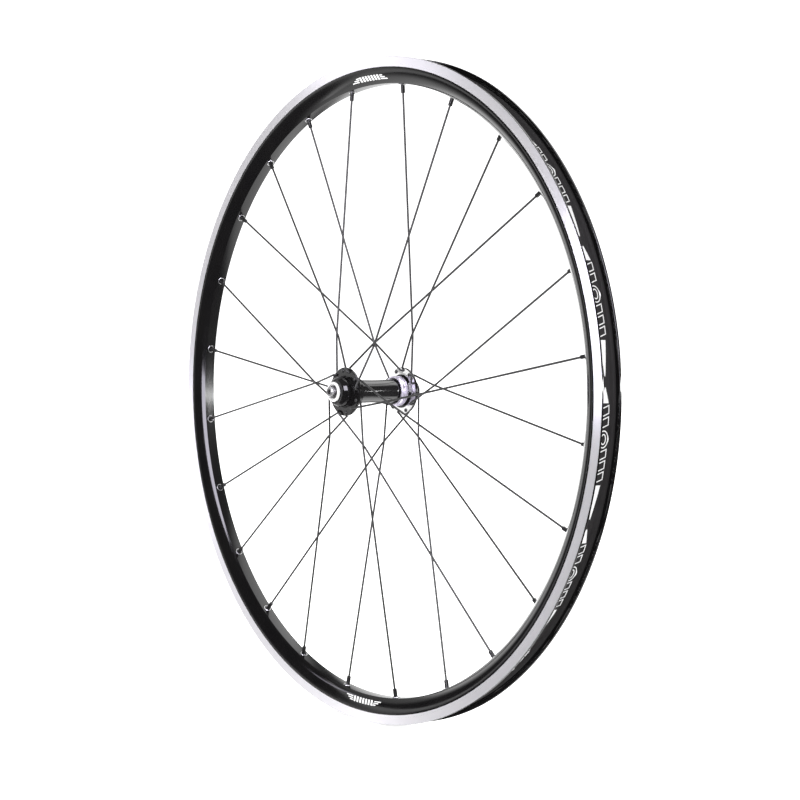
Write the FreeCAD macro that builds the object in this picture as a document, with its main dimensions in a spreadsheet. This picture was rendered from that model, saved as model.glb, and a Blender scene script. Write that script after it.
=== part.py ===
import FreeCAD, Part
import math
import os
from types import SimpleNamespace

import Sketcher

# Front road bicycle wheel: a hollow aluminium rim, twenty-four round spokes that each cross two
# others, and a quick-release hub on two cartridge bearings. Millimetres. The origin is the middle of
# the wheel, +Y runs along the axle to the left side of the bicycle, and +Z is up. A forward bicycle
# moves to +X. Angles about the axle are measured from +X towards +Z.

RIGHT = -1
LEFT = 1
SIDE_NAMES = {RIGHT: "right", LEFT: "left"}

SIZES = {
    # Rim: radii from the axle and half widths from the middle plane.
    "rim_radius": 316.5,
    "rim_half_width": 11.8,
    "rim_edge_chamfer": 0.4,
    "hook_mouth_half_width": 9.5,
    "hook_foot_radius": 314.2,
    "bead_wall_half_width": 10.2,
    "bead_wall_top_radius": 313.2,
    "bead_seat_radius": 311.0,
    "bead_seat_fall": 0.2,
    "bead_seat_inner_half_width": 7.6,
    "well_radius": 308.0,
    "well_half_width": 5.2,
    "track_foot_radius": 306.9,
    "side_bend_radius": 300.0,
    "side_bend_half_width": 10.43,
    "rim_corner_radius": 292.1,
    "rim_corner_half_width": 5.4,
    "rim_inner_radius": 291.8,
    "bed_wall": 1.4,
    "cavity_roof_radius": 309.0,
    "cavity_roof_half_width": 9.4,
    "cavity_side_radius": 306.0,
    "cavity_side_half_width": 10.28,
    "cavity_bend_half_width": 8.8,
    "cavity_corner_radius": 295.4,
    "cavity_corner_half_width": 5.6,
    "cavity_floor_radius": 293.8,
    "valve_hole_radius": 3.25,
    "tape_thickness": 0.6,
    "tape_side_thickness": 0.3,
    "tape_edge_gap": 0.15,
    "sleeve_gap": 0.25,
    "sleeve_wall": 1.6,
    "sleeve_foot_rise": 1.2,
    "sleeve_angle": 9.0,
    # Eyelets and the holes that they sit in.
    "eyelet_hole_radius": 3.15,
    "eyelet_seat_radius": 292.3,
    "eyelet_seat_hole": 3.7,
    "access_hole_radius": 4.5,
    "eyelet_rim_radius": 3.6,
    "eyelet_lip": 1.0,
    "eyelet_lip_rounding": 0.5,
    "eyelet_tube_radius": 3.1,
    "eyelet_mouth_radius": 2.8,
    "eyelet_throat_radius": 2.4,
    "eyelet_top_radius": 295.1,
    "eyelet_flare_height": 0.5,
    "eyelet_flare_width": 0.3,
    # Nipples: lengths along their own axis from the middle of the round head.
    "nipple_pivot_radius": 296.36,
    "nipple_head_radius": 2.7,
    "nipple_head_top": 1.2,
    "nipple_head_edge": 0.7,
    "nipple_head_crown_radius": 2.1,
    "nipple_body_radius": 1.95,
    "nipple_length_below": 12.8,
    "nipple_flat_length": 6.2,
    "nipple_flat_half_width": 1.65,
    "nipple_end_chamfer": 0.35,
    "nipple_bore_radius": 1.02,
    "nipple_slot_width": 0.9,
    "nipple_slot_depth": 0.7,
    # Spokes and their lacing.
    "spoke_radius": 1.0,
    "spoke_head_radius": 1.85,
    "spoke_head_height": 1.1,
    "spoke_head_rim_height": 0.5,
    "spoke_head_top_radius": 1.0,
    "elbow_radius": 2.3,
    "elbow_gap": 0.1,
    "weave_radius": 30.0,
    "weave_spacing": 2.25,
    "weave_offset": 28.3,
    "spoke_end_gap": 0.6,
    "first_spoke_angle": 81.6,
    "lacing_angle": 60.0,
    # Hub shell: distances along the axle from the middle plane.
    "hole_circle_radius": 20.0,
    "spoke_hole_radius": 1.25,
    "flange_radius": 23.0,
    "flange_inner": 33.0,
    "flange_outer": 36.0,
    "flange_edge_bevel": 0.6,
    "flange_neck_radius": 16.0,
    "flange_neck": 31.6,
    "flange_root_width": 1.0,
    "housing_radius": 14.3,
    "housing_mouth_radius": 11.6,
    "housing_end": 46.8,
    "housing_swell_radius": 13.6,
    "housing_swell": 43.2,
    "housing_foot": 37.5,
    "bearing_seat_radius": 11.0,
    "bearing_seat": 39.5,
    "seat_shoulder_radius": 9.6,
    "spigot_radius": 12.7,
    "spigot_bore_radius": 11.3,
    "spigot_end": 22.8,
    "barrel_radius": 11.3,
    "barrel_bore_radius": 9.4,
    "barrel_half_length": 33.0,
    "barrel_end_length": 13.0,
    "barrel_waist_depth": 0.35,
    "collar_radius": 14.5,
    "collar_bevel": 0.7,
    "collar_inner": 23.0,
    "collar_outer": 31.0,
    "collar_groove_depth": 0.5,
    # Cartridge bearings, 10 x 22 x 6 mm.
    "race_width": 6.0,
    "race_chamfer": 0.3,
    "inner_race_bore": 5.0,
    "inner_race_radius": 6.9,
    "outer_race_radius": 11.0,
    "outer_race_bore": 9.1,
    "ball_circle_radius": 8.0,
    "ball_radius": 1.45,
    "race_groove_radius": 1.5,
    "cage_half_width": 1.9,
    "cage_inner_radius": 7.5,
    "cage_outer_radius": 8.5,
    "cage_pocket_radius": 1.52,
    "shield_thickness": 0.35,
    "shield_inner_radius": 7.05,
    "cover_start": 45.7,
    "cover_thickness": 0.9,
    "cover_bore_radius": 6.75,
    "cover_edge_bevel": 0.2,
    "cover_lip_width": 0.5,
    "cover_lip_depth": 0.4,
    # Axle and its end caps.
    "axle_middle_radius": 6.4,
    "axle_seat_radius": 5.0,
    "axle_thread_radius": 4.75,
    "axle_end_radius": 4.5,
    "axle_bore_radius": 2.6,
    "axle_end": 54.0,
    "axle_end_chamfer": 0.5,
    "axle_shoulder": 46.0,
    "cap_radius": 9.4,
    "cap_face": 50.0,
    "cap_back": 47.4,
    "cap_bevel": 0.6,
    "cap_boss_radius": 6.35,
    "cap_recess_outer_radius": 7.4,
    "cap_recess_inner_radius": 5.8,
    "cap_recess_depth": 1.8,
}

SPOKE_COUNT = 24
SPOKE_STEP = 360 / SPOKE_COUNT
HOLES_PER_FLANGE = SPOKE_COUNT // 2
BALL_COUNT = 11
VALVE_AFTER_SPOKE = 12.5
SLEEVE_AFTER_SPOKE = 0.5

# How far the solids that cut holes stand out of the metal round them.
DRILL_OVERRUN = 4
CUT_MARGIN = 1

# How far in from its corner a quarter round passes, as a share of its radius.
ROUND_INSET = 1 - math.sqrt(0.5)

doc = FreeCAD.newDocument("FrontWheel")
finished_parts = []


class Size:
    """A length or an angle: its value, and the sheet expression that gives it."""

    def __init__(self, value, text):
        self.value = value
        self.text = text

    def __add__(self, other):
        other = as_size(other)
        return Size(self.value + other.value, f"({self.text} + {other.text})")

    def __sub__(self, other):
        other = as_size(other)
        return Size(self.value - other.value, f"({self.text} - {other.text})")

    def __mul__(self, factor):
        return Size(self.value * factor, f"({self.text} * {factor})")


def as_size(number):
    """A plain number as a Size; a Size as it is."""
    if isinstance(number, Size):
        return number
    return Size(number, str(number))


def make_sheet():
    """The spreadsheet of driving dimensions, and each of them as a Size."""
    sheet = doc.addObject("Spreadsheet::Sheet", "sizes")
    for row, (alias, value) in enumerate(SIZES.items(), start=1):
        sheet.set(f"A{row}", alias)
        sheet.set(f"B{row}", str(value))
        sheet.setAlias(f"B{row}", alias)
    doc.recompute()
    named = {alias: Size(sheet.get(alias), f"sizes.{alias}") for alias in SIZES}
    return SimpleNamespace(**named)


s = make_sheet()


# Helpers for bodies, sketches and features.


def new_body(name):
    """A part design body whose label is its file's name."""
    body = doc.addObject("PartDesign::Body", name)
    body.Label = name
    return body


def origin_item(body, role):
    """The plane or axis of the body's own origin that has the role."""
    for item in body.Origin.OriginFeatures:
        if item.Role == role:
            return item
    raise ValueError(role)


def new_sketch(body, plane, name):
    """A sketch on one of the body's origin planes."""
    sketch = body.newObject("Sketcher::SketchObject", name)
    sketch.AttachmentSupport = [(origin_item(body, plane), "")]
    sketch.MapMode = "FlatFace"
    return sketch


def bind(item, field, size):
    """Give a field its size and keep it bound to the sheet."""
    item.setExpression(field, as_size(size).text)


def pin(sketch, edge, vertex, point):
    """Hold a vertex at a point measured from the sketch's origin."""
    for kind, size in zip(("DistanceX", "DistanceY"), point):
        size = as_size(size)
        index = sketch.addConstraint(Sketcher.Constraint(kind, -1, 1, edge, vertex, size.value))
        if "sizes." in size.text:
            sketch.setExpression(f"Constraints[{index}]", size.text)


def flat_vector(point):
    """The point's values in the sketch plane."""
    return FreeCAD.Vector(as_size(point[0]).value, as_size(point[1]).value, 0)


def bend(across, along):
    """The middle of an arc between the corners beside it."""
    return (across, along, "bend")


def add_line(sketch, start, end):
    """A straight edge, with the vertex numbers of its start and its end."""
    edge = sketch.addGeometry(Part.LineSegment(flat_vector(start), flat_vector(end)), False)
    return edge, 1, 2


def add_arc(sketch, start, middle, end):
    """An arc through three points, held to its middle point, with its two vertex numbers."""
    arc = Part.Arc(flat_vector(start), flat_vector(middle), flat_vector(end))
    edge = sketch.addGeometry(arc, False)
    marker = sketch.addGeometry(Part.Point(flat_vector(middle)), True)
    pin(sketch, marker, 1, middle[:2])
    sketch.addConstraint(Sketcher.Constraint("PointOnObject", marker, 1, edge))
    runs_forward = sketch.getPoint(edge, 1).distanceToPoint(flat_vector(start)) < 1e-6
    if runs_forward:
        return edge, 1, 2
    return edge, 2, 1


def draw_outline(sketch, points):
    """A closed outline through corners, with an arc over each bend point."""
    edges = []
    count = len(points)
    for index, point in enumerate(points):
        if len(point) == 3:
            continue
        following = points[(index + 1) % count]
        if len(following) == 3:
            edge, first, last = add_arc(sketch, point, following, points[(index + 2) % count])
        else:
            edge, first, last = add_line(sketch, point, following)
        pin(sketch, edge, first, point)
        edges.append((edge, first, last))
    for (edge, _, last), (next_edge, next_first, _) in zip(edges, edges[1:] + edges[:1]):
        sketch.addConstraint(Sketcher.Constraint("Coincident", edge, last, next_edge, next_first))


def on_side(side, points):
    """The points moved to the right or the left half of the axle."""
    return [(point[0], as_size(point[1]) * side) + tuple(point[2:]) for point in points]


def turn_profile(body, outlines, feature="PartDesign::Revolution"):
    """Turn closed outlines of (radius, axle position) about the axle line."""
    sketch = new_sketch(body, "XY_Plane", f"{body.Name}_profile")
    for outline in outlines:
        draw_outline(sketch, outline)
    turned = body.newObject(feature, f"{body.Name}_turned")
    turned.Profile = sketch
    turned.ReferenceAxis = (sketch, ["V_Axis"])
    turned.Angle = 360
    doc.recompute()
    return turned


def turned_body(name, outlines):
    """A body turned about the axle line."""
    body = new_body(name)
    turn_profile(body, outlines)
    return body


def radial_drill(body, name, radius, start, end, angle=0.0):
    """A round hole on a line straight out from the axle, from one distance from it to another."""
    drill = body.newObject("PartDesign::SubtractiveCylinder", name)
    bind(drill, "Radius", radius)
    bind(drill, "Height", end - start)
    direction = FreeCAD.Vector(math.cos(math.radians(angle)), 0, math.sin(math.radians(angle)))
    turn = FreeCAD.Rotation(FreeCAD.Vector(0, 0, 1), direction)
    drill.Placement = FreeCAD.Placement(direction * start.value, turn)
    return drill


def pattern_about(body, name, axis_role, feature, count):
    """Repeat a feature evenly about one of the body's own axes."""
    pattern = body.newObject("PartDesign::PolarPattern", name)
    pattern.Originals = [feature]
    pattern.Axis = (origin_item(body, axis_role), [""])
    pattern.Angle = 360
    pattern.Occurrences = count
    body.Tip = pattern
    doc.recompute()
    return pattern


def turn_about_axle(angle):
    """The placement that turns a piece about the axle, from +X towards +Z."""
    return FreeCAD.Placement(
        FreeCAD.Vector(0, 0, 0),
        FreeCAD.Rotation(FreeCAD.Vector(0, 1, 0), -angle),
    )


def keep(part, placement=None):
    """Place a finished sub-part and remember it for writing."""
    if placement is not None:
        part.Placement = placement
    finished_parts.append(part)
    return part


def spoke_angle(index):
    """The angle of a spoke's nipple, counted clockwise as seen from the right side."""
    return s.first_spoke_angle.value - SPOKE_STEP * index


# Rim, its tape and the sleeve that joins its ends.


def rim_outline():
    """Outer section of the rim, from one hook across the well to the other and round the spoke side."""
    half = [
        (s.well_radius, 0),
        (s.well_radius, s.well_half_width),
        (s.bead_seat_radius - s.bead_seat_fall, s.bead_seat_inner_half_width),
        (s.bead_seat_radius, s.bead_wall_half_width),
        (s.bead_wall_top_radius, s.bead_wall_half_width),
        (s.hook_foot_radius, s.hook_mouth_half_width),
        (s.rim_radius - s.rim_edge_chamfer, s.hook_mouth_half_width),
        (s.rim_radius, s.hook_mouth_half_width + s.rim_edge_chamfer),
        (s.rim_radius, s.rim_half_width - s.rim_edge_chamfer),
        (s.rim_radius - s.rim_edge_chamfer, s.rim_half_width),
        (s.track_foot_radius, s.rim_half_width),
        bend(s.side_bend_radius, s.side_bend_half_width),
        (s.rim_corner_radius, s.rim_corner_half_width),
    ]
    other_half = [(x, as_size(y) * -1) + tuple(rest) for x, y, *rest in reversed(half[1:])]
    return half + [bend(s.rim_inner_radius, 0)] + other_half


def cavity_outline():
    """The hollow inside the rim, a wall's thickness in from its section."""
    half = [
        (s.well_radius - s.bed_wall, s.well_half_width),
        (s.cavity_roof_radius, s.bead_seat_inner_half_width),
        (s.cavity_roof_radius, s.cavity_roof_half_width),
        (s.cavity_side_radius, s.cavity_side_half_width),
        bend(s.side_bend_radius, s.cavity_bend_half_width),
        (s.cavity_corner_radius, s.cavity_corner_half_width),
    ]
    other_half = [(x, y * -1) + tuple(rest) for x, y, *rest in reversed(half)]
    return half + [bend(s.cavity_floor_radius, 0)] + other_half


def build_rim():
    """The hollow rim with its eyelet seats, spoke holes, access holes and valve hole."""
    body = turned_body("rim", [rim_outline(), cavity_outline()])
    below_wall = s.rim_inner_radius - DRILL_OVERRUN
    below_bed = s.well_radius - DRILL_OVERRUN
    drills = {
        "eyelet_seat": (s.eyelet_seat_hole, below_wall, s.eyelet_seat_radius),
        "eyelet_hole": (s.eyelet_hole_radius, below_wall, s.cavity_floor_radius + DRILL_OVERRUN),
        "access_hole": (s.access_hole_radius, below_bed, s.well_radius + DRILL_OVERRUN),
    }
    for name, (radius, start, end) in drills.items():
        drill = radial_drill(body, name, radius, start, end)
        doc.recompute()
        pattern_about(body, f"{name}s", "Y_Axis", drill, SPOKE_COUNT)
    valve_angle = 90 - SPOKE_STEP * VALVE_AFTER_SPOKE
    above_rim = s.rim_radius + DRILL_OVERRUN
    radial_drill(body, "valve_hole", s.valve_hole_radius, below_wall, above_rim, valve_angle)
    doc.recompute()
    keep(body, turn_about_axle(s.first_spoke_angle.value - 90))


def build_rim_tape():
    """The strip that lines the tyre channel from bead seat to bead seat, with its valve hole."""
    thickness = s.tape_thickness
    side = s.tape_side_thickness
    edge = s.bead_wall_half_width - s.tape_edge_gap
    shelf = s.bead_seat_radius - s.bead_seat_fall
    under_half = [
        (s.well_radius, s.well_half_width),
        (shelf, s.bead_seat_inner_half_width),
        (s.bead_seat_radius, edge),
    ]
    face_half = [
        (s.bead_seat_radius + thickness, edge),
        (shelf + thickness, s.bead_seat_inner_half_width - side),
        (s.well_radius + thickness, s.well_half_width - side),
    ]
    half = under_half + face_half
    body = turned_body("rim_tape", [half + [(x, y * -1) for x, y in reversed(half)]])
    angle = 90 - SPOKE_STEP * VALVE_AFTER_SPOKE
    start = s.well_radius - DRILL_OVERRUN
    end = s.bead_seat_radius + DRILL_OVERRUN
    radial_drill(body, "tape_valve_hole", s.valve_hole_radius, start, end, angle)
    doc.recompute()
    keep(body, turn_about_axle(s.first_spoke_angle.value - 90))


def build_joint_sleeve():
    """The short curved tube inside the rim that pins its two ends together."""
    gap = s.sleeve_gap
    half = [
        (s.well_radius - s.bed_wall - gap, s.well_half_width),
        (s.cavity_side_radius - gap, s.cavity_side_half_width - s.sleeve_wall),
        (s.side_bend_radius, s.cavity_bend_half_width - gap * 2),
        (s.cavity_corner_radius + s.sleeve_foot_rise, s.cavity_corner_half_width - gap * 2),
    ]
    outside = half + [(x, y * -1) for x, y in reversed(half)]
    wall = s.sleeve_wall
    inner_half = [
        (s.well_radius - s.bed_wall - gap - wall, s.well_half_width - wall * 0.5),
        (s.side_bend_radius, s.cavity_bend_half_width - gap * 2 - wall),
        (s.cavity_corner_radius + s.sleeve_foot_rise + wall, s.cavity_corner_half_width - gap * 2 - wall),
    ]
    inside = inner_half + [(x, y * -1) for x, y in reversed(inner_half)]
    body = new_body("rim_joint_sleeve")
    sleeve = turn_profile(body, [outside, inside])
    sleeve.Midplane = True
    bind(sleeve, "Angle", s.sleeve_angle)
    doc.recompute()
    keep(body, turn_about_axle(spoke_angle(SLEEVE_AFTER_SPOKE)))


# Eyelets and nipples, one of each made and then repeated round the rim.


def build_eyelets():
    """Flanged ferrules that line the spoke holes: one is turned, and the group holds them all."""
    master = new_body("eyelet_master")
    lip = s.eyelet_seat_radius - s.eyelet_lip
    rounding = s.eyelet_lip_rounding
    inset = rounding * ROUND_INSET
    flare = s.eyelet_tube_radius + s.eyelet_flare_width
    flare_foot = s.eyelet_top_radius - s.eyelet_flare_height
    profile = [
        (lip, s.eyelet_mouth_radius),
        (lip, s.eyelet_rim_radius - rounding),
        bend(lip + inset, s.eyelet_rim_radius - inset),
        (lip + rounding, s.eyelet_rim_radius),
        (s.eyelet_seat_radius, s.eyelet_rim_radius),
        (s.eyelet_seat_radius, s.eyelet_tube_radius),
        (flare_foot, s.eyelet_tube_radius),
        (flare_foot, flare),
        (s.eyelet_top_radius, flare),
        (s.eyelet_top_radius, s.eyelet_throat_radius),
    ]
    sketch = new_sketch(master, "XY_Plane", "eyelet_profile")
    draw_outline(sketch, profile)
    turned = master.newObject("PartDesign::Revolution", "eyelet_turned")
    turned.Profile = sketch
    turned.ReferenceAxis = (sketch, ["H_Axis"])
    turned.Angle = 360
    doc.recompute()
    placements = [turn_about_axle(spoke_angle(index)) for index in range(SPOKE_COUNT)]
    keep(group_of_copies("eyelets", master, placements))


def group_of_copies(name, master, placements):
    """One node that holds a placed copy of the master's solid at each placement."""
    group = doc.addObject("Part::Feature", name)
    group.Label = name
    group.Shape = Part.Compound([master.Shape.transformed(place.Matrix, True) for place in placements])
    return group


def build_nipple_master():
    """One nipple, with its round head at the origin and its square end towards the hub, along -X."""
    master = new_body("nipple_master")
    body_radius = s.nipple_body_radius
    head_radius = s.nipple_head_radius.value
    neck = math.sqrt(head_radius ** 2 - body_radius.value ** 2)
    middle = (math.asin(body_radius.value / head_radius) + math.radians(90)) / 2
    foot = s.nipple_length_below * -1
    profile = [
        (foot, s.nipple_bore_radius),
        (foot, body_radius - s.nipple_end_chamfer),
        (foot + s.nipple_end_chamfer, body_radius),
        (-neck, body_radius),
        bend(-head_radius * math.cos(middle), head_radius * math.sin(middle)),
        (0, s.nipple_head_radius),
        (s.nipple_head_edge, s.nipple_head_radius),
        (s.nipple_head_top, s.nipple_head_crown_radius),
        (s.nipple_head_top, 0),
        (0.0, 0),
        (0.0, s.nipple_bore_radius),
    ]
    sketch = new_sketch(master, "XY_Plane", "nipple_profile")
    draw_outline(sketch, profile)
    turned = master.newObject("PartDesign::Revolution", "nipple_turned")
    turned.Profile = sketch
    turned.ReferenceAxis = (sketch, ["H_Axis"])
    turned.Angle = 360
    doc.recompute()
    return master


def finish_nipple(master):
    """Cut the four wrench flats and the screwdriver slot."""
    reach = s.nipple_body_radius.value + CUT_MARGIN
    foot = s.nipple_length_below.value
    flat = master.newObject("PartDesign::SubtractiveBox", "nipple_flat")
    bind(flat, "Length", s.nipple_flat_length + CUT_MARGIN)
    flat.Width = 2 * reach
    flat.Height = reach
    flat.Placement.Base = FreeCAD.Vector(-foot - CUT_MARGIN, -reach, s.nipple_flat_half_width.value)
    doc.recompute()
    pattern_about(master, "nipple_flats", "X_Axis", flat, 4)
    slot = master.newObject("PartDesign::SubtractiveBox", "nipple_slot")
    bind(slot, "Width", s.nipple_slot_width)
    half_height = s.nipple_head_radius.value + CUT_MARGIN
    bind(slot, "Length", s.nipple_slot_depth + CUT_MARGIN)
    slot.Height = 2 * half_height
    slot.Placement.Base = FreeCAD.Vector(
        s.nipple_head_top.value - s.nipple_slot_depth.value,
        -s.nipple_slot_width.value / 2,
        -half_height,
    )
    doc.recompute()


# Spokes: a head, a bent elbow through the flange, and a shank woven past its neighbour.


def is_on_right(index):
    """Odd spokes go to the right flange and even ones to the left."""
    return index % 2 == 1


def hole_direction(index):
    """Whether the spoke's flange hole lies ahead of its nipple (1) or behind it (-1)."""
    if (index // 2) % 2 == 1:
        return 1
    return -1


def runs_outside(index):
    """Whether the spoke leaves on the flange's outer face, with its head on the inner one."""
    return is_on_right(index) != (hole_direction(index) == 1)


def spoke_plan(index):
    """Hole and nipple places on the middle plane, the direction between them and the weave's distance."""
    nipple_angle = math.radians(spoke_angle(index))
    hole_angle = nipple_angle + math.radians(s.lacing_angle.value) * hole_direction(index)
    circle = s.hole_circle_radius.value
    rim = s.nipple_pivot_radius.value
    hole = FreeCAD.Vector(circle * math.cos(hole_angle), 0, circle * math.sin(hole_angle))
    nipple = FreeCAD.Vector(rim * math.cos(nipple_angle), 0, rim * math.sin(nipple_angle))
    along = nipple - hole
    reach = along.Length
    along.normalize()
    from_axle = abs(hole.cross(along).y)
    to_foot = -hole.dot(along)
    tilt_at_rim = math.asin(from_axle / rim)
    tilt_at_weave = tilt_at_rim + math.radians(SPOKE_STEP)
    weave = to_foot + from_axle / math.tan(tilt_at_weave)
    return SimpleNamespace(hole=hole, nipple=nipple, along=along, reach=reach, weave=weave)


def spoke_route(index):
    """The spoke's corner points in its own plane: along it from the hole, and along the axle."""
    side = RIGHT if is_on_right(index) else LEFT
    plan = spoke_plan(index)
    if runs_outside(index):
        head_face = s.flange_inner
        leaving_face = s.flange_outer + s.elbow_gap
        weave_place = s.weave_offset - s.weave_spacing * 0.5
        outward = 1
    else:
        head_face = s.flange_outer
        leaving_face = s.flange_inner - s.elbow_gap
        weave_place = s.weave_offset + s.weave_spacing * 0.5
        outward = -1
    fall = (leaving_face.value + outward * s.elbow_radius.value - weave_place.value) / plan.weave
    turn = math.radians(90) + outward * math.atan(fall)
    corner = leaving_face + s.elbow_radius * (outward * math.tan(turn / 2))
    points = [
        (0.0, head_face * side),
        (0.0, corner * side),
        (plan.weave, weave_place * side),
        (plan.reach, 0.0),
    ]
    return side, outward, plan, points


def cut_short(points, gap):
    """The route with its last point moved back along the last run."""
    last = flat_vector(points[-1])
    before = flat_vector(points[-2])
    back = (before - last).normalize() * gap
    return points[:-1] + [(last.x + back.x, last.y + back.y)]


def corner_arc(before, corner, after, radius):
    """Where an arc of the radius leaves and joins the runs beside a corner, and its middle."""
    into = (corner - before).normalize()
    away = (after - corner).normalize()
    turn = into.getAngle(away)
    setback = radius * math.tan(turn / 2)
    start = corner - into * setback
    end = corner + away * setback
    inward = (away - into).normalize()
    centre = corner + inward * (radius / math.cos(turn / 2))
    middle = centre - inward * radius
    return start, middle, end


def draw_route(sketch, points, radii):
    """An open path of straight runs whose corners are tangent arcs of the given radii."""
    corners = [flat_vector(point) for point in points]
    edges = []
    start = corners[0]
    for index, radius in enumerate(radii, start=1):
        leave, middle, join = corner_arc(*corners[index - 1:index + 2], radius.value)
        edges.append(add_route_edge(sketch, Part.LineSegment(start, leave), start))
        edges.append(add_route_edge(sketch, Part.Arc(leave, middle, join), leave))
        start = join
    edges.append(add_route_edge(sketch, Part.LineSegment(start, corners[-1]), start))
    for (edge, _, last), (next_edge, next_first, _) in zip(edges, edges[1:]):
        sketch.addConstraint(Sketcher.Constraint("Tangent", edge, last, next_edge, next_first))
    pin(sketch, edges[0][0], edges[0][1], points[0])
    pin(sketch, edges[-1][0], edges[-1][2], points[-1])
    for index, radius in enumerate(radii):
        arc = edges[2 * index + 1][0]
        number = sketch.addConstraint(Sketcher.Constraint("Radius", arc, radius.value))
        sketch.setExpression(f"Constraints[{number}]", radius.text)
        marker = sketch.addGeometry(Part.Point(corners[index + 1]), True)
        pin(sketch, marker, 1, points[index + 1])
        for run in (edges[2 * index][0], edges[2 * index + 2][0]):
            sketch.addConstraint(Sketcher.Constraint("PointOnObject", marker, 1, run))


def add_route_edge(sketch, curve, start):
    """Add a curve of the route, with the vertex numbers of its start and its end."""
    edge = sketch.addGeometry(curve, False)
    if sketch.getPoint(edge, 1).distanceToPoint(start) < 1e-6:
        return edge, 1, 2
    return edge, 2, 1


def build_spoke(index):
    """One spoke, drawn in the plane that holds its shank and the axle's direction."""
    name = f"spoke_{index + 1:02d}"
    side, outward, plan, points = spoke_route(index)
    body = new_body(name)
    path = new_sketch(body, "XY_Plane", f"{name}_route")
    draw_route(path, cut_short(points, s.spoke_end_gap.value), [s.elbow_radius, s.weave_radius])
    section = new_sketch(body, "XZ_Plane", f"{name}_section")
    head_place = points[0][1]
    section.AttachmentOffset.Base = FreeCAD.Vector(0, 0, -head_place.value)
    circle = Part.Circle(FreeCAD.Vector(0, 0, 0), FreeCAD.Vector(0, 0, 1), s.spoke_radius.value)
    ring = section.addGeometry(circle, False)
    section.addConstraint(Sketcher.Constraint("Coincident", ring, 3, -1, 1))
    number = section.addConstraint(Sketcher.Constraint("Radius", ring, s.spoke_radius.value))
    section.setExpression(f"Constraints[{number}]", s.spoke_radius.text)
    doc.recompute()
    shank = body.newObject("PartDesign::AdditivePipe", f"{name}_shank")
    shank.Profile = section
    shank.Spine = path
    doc.recompute()
    head = new_sketch(body, "XY_Plane", f"{name}_head_profile")
    away = -side * outward
    top = head_place + s.spoke_head_height * away
    draw_outline(head, [
        (0.0, head_place),
        (s.spoke_head_radius, head_place),
        (s.spoke_head_radius, head_place + s.spoke_head_rim_height * away),
        (s.spoke_head_top_radius, top),
        (0.0, top),
    ])
    turned = body.newObject("PartDesign::Revolution", f"{name}_head")
    turned.Profile = head
    turned.ReferenceAxis = (head, ["V_Axis"])
    turned.Angle = 360
    heading = math.degrees(math.atan2(plan.along.z, plan.along.x))
    turn = FreeCAD.Rotation(FreeCAD.Vector(0, 1, 0), -heading)
    keep(body, FreeCAD.Placement(plan.hole, turn))
    doc.recompute()


def nipple_placement(index):
    """The nipple's place on the rim, in line with the last run of its spoke."""
    side, _, plan, points = spoke_route(index)
    last_run = flat_vector(points[-1]) - flat_vector(points[-2])
    direction = plan.along * last_run.x + FreeCAD.Vector(0, last_run.y, 0)
    turn = FreeCAD.Rotation(FreeCAD.Vector(1, 0, 0), direction)
    return FreeCAD.Placement(plan.nipple, turn)


def build_nipples():
    """The threaded nuts that pull the spokes tight."""
    master = build_nipple_master()
    finish_nipple(master)
    placements = [nipple_placement(index) for index in range(SPOKE_COUNT)]
    keep(group_of_copies("nipples", master, placements))


# Hub shell: two flanges pressed on a barrel tube, with a collar ring on each spigot.


def flange_outline(side):
    """Section of a flange with its bearing housing outside and its spigot inside."""
    bevel = s.flange_edge_bevel
    return on_side(side, [
        (s.spigot_bore_radius, s.spigot_end),
        (s.spigot_radius, s.spigot_end),
        (s.spigot_radius, s.collar_outer),
        (s.spigot_radius + s.flange_root_width, s.flange_neck),
        (s.flange_neck_radius, s.flange_inner),
        (s.flange_radius - bevel, s.flange_inner),
        (s.flange_radius, s.flange_inner + bevel),
        (s.flange_radius, s.flange_outer - bevel),
        (s.flange_radius - bevel, s.flange_outer),
        (s.housing_radius + s.flange_root_width, s.flange_outer),
        (s.housing_radius, s.housing_foot),
        bend(s.housing_swell_radius, s.housing_swell),
        (s.housing_mouth_radius, s.housing_end),
        (s.bearing_seat_radius, s.housing_end),
        (s.bearing_seat_radius, s.bearing_seat),
        (s.seat_shoulder_radius, s.bearing_seat),
        (s.seat_shoulder_radius, s.barrel_half_length),
        (s.spigot_bore_radius, s.barrel_half_length),
    ])


def build_flange(side):
    """One flange, turned and then drilled for its twelve spokes."""
    name = f"{SIDE_NAMES[side]}_hub_flange"
    body = turned_body(name, [flange_outline(side)])
    drill = body.newObject("PartDesign::SubtractiveCylinder", f"{name}_spoke_hole")
    bind(drill, "Radius", s.spoke_hole_radius)
    bind(drill, "Height", s.flange_outer - s.flange_inner + 2 * CUT_MARGIN)
    along_axle = FreeCAD.Rotation(FreeCAD.Vector(0, 0, 1), FreeCAD.Vector(0, side, 0))
    start = FreeCAD.Vector(s.hole_circle_radius.value, side * (s.flange_inner.value - CUT_MARGIN), 0)
    drill.Placement = FreeCAD.Placement(start, along_axle)
    doc.recompute()
    pattern_about(body, f"{name}_spoke_holes", "Y_Axis", drill, HOLES_PER_FLANGE)
    spokes_here = [index for index in range(SPOKE_COUNT) if is_on_right(index) == (side == RIGHT)]
    first = spokes_here[0]
    angle = spoke_angle(first) + s.lacing_angle.value * hole_direction(first)
    keep(body, turn_about_axle(angle))


def build_barrel():
    """The tube between the flanges."""
    half_length = s.barrel_half_length
    waist = half_length - s.barrel_end_length
    keep(turned_body("hub_barrel", [[
        (s.barrel_bore_radius, half_length * -1),
        (s.barrel_radius, half_length * -1),
        (s.barrel_radius, waist * -1),
        bend(s.barrel_radius - s.barrel_waist_depth, 0),
        (s.barrel_radius, waist),
        (s.barrel_radius, half_length),
        (s.barrel_bore_radius, half_length),
    ]]))


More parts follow.
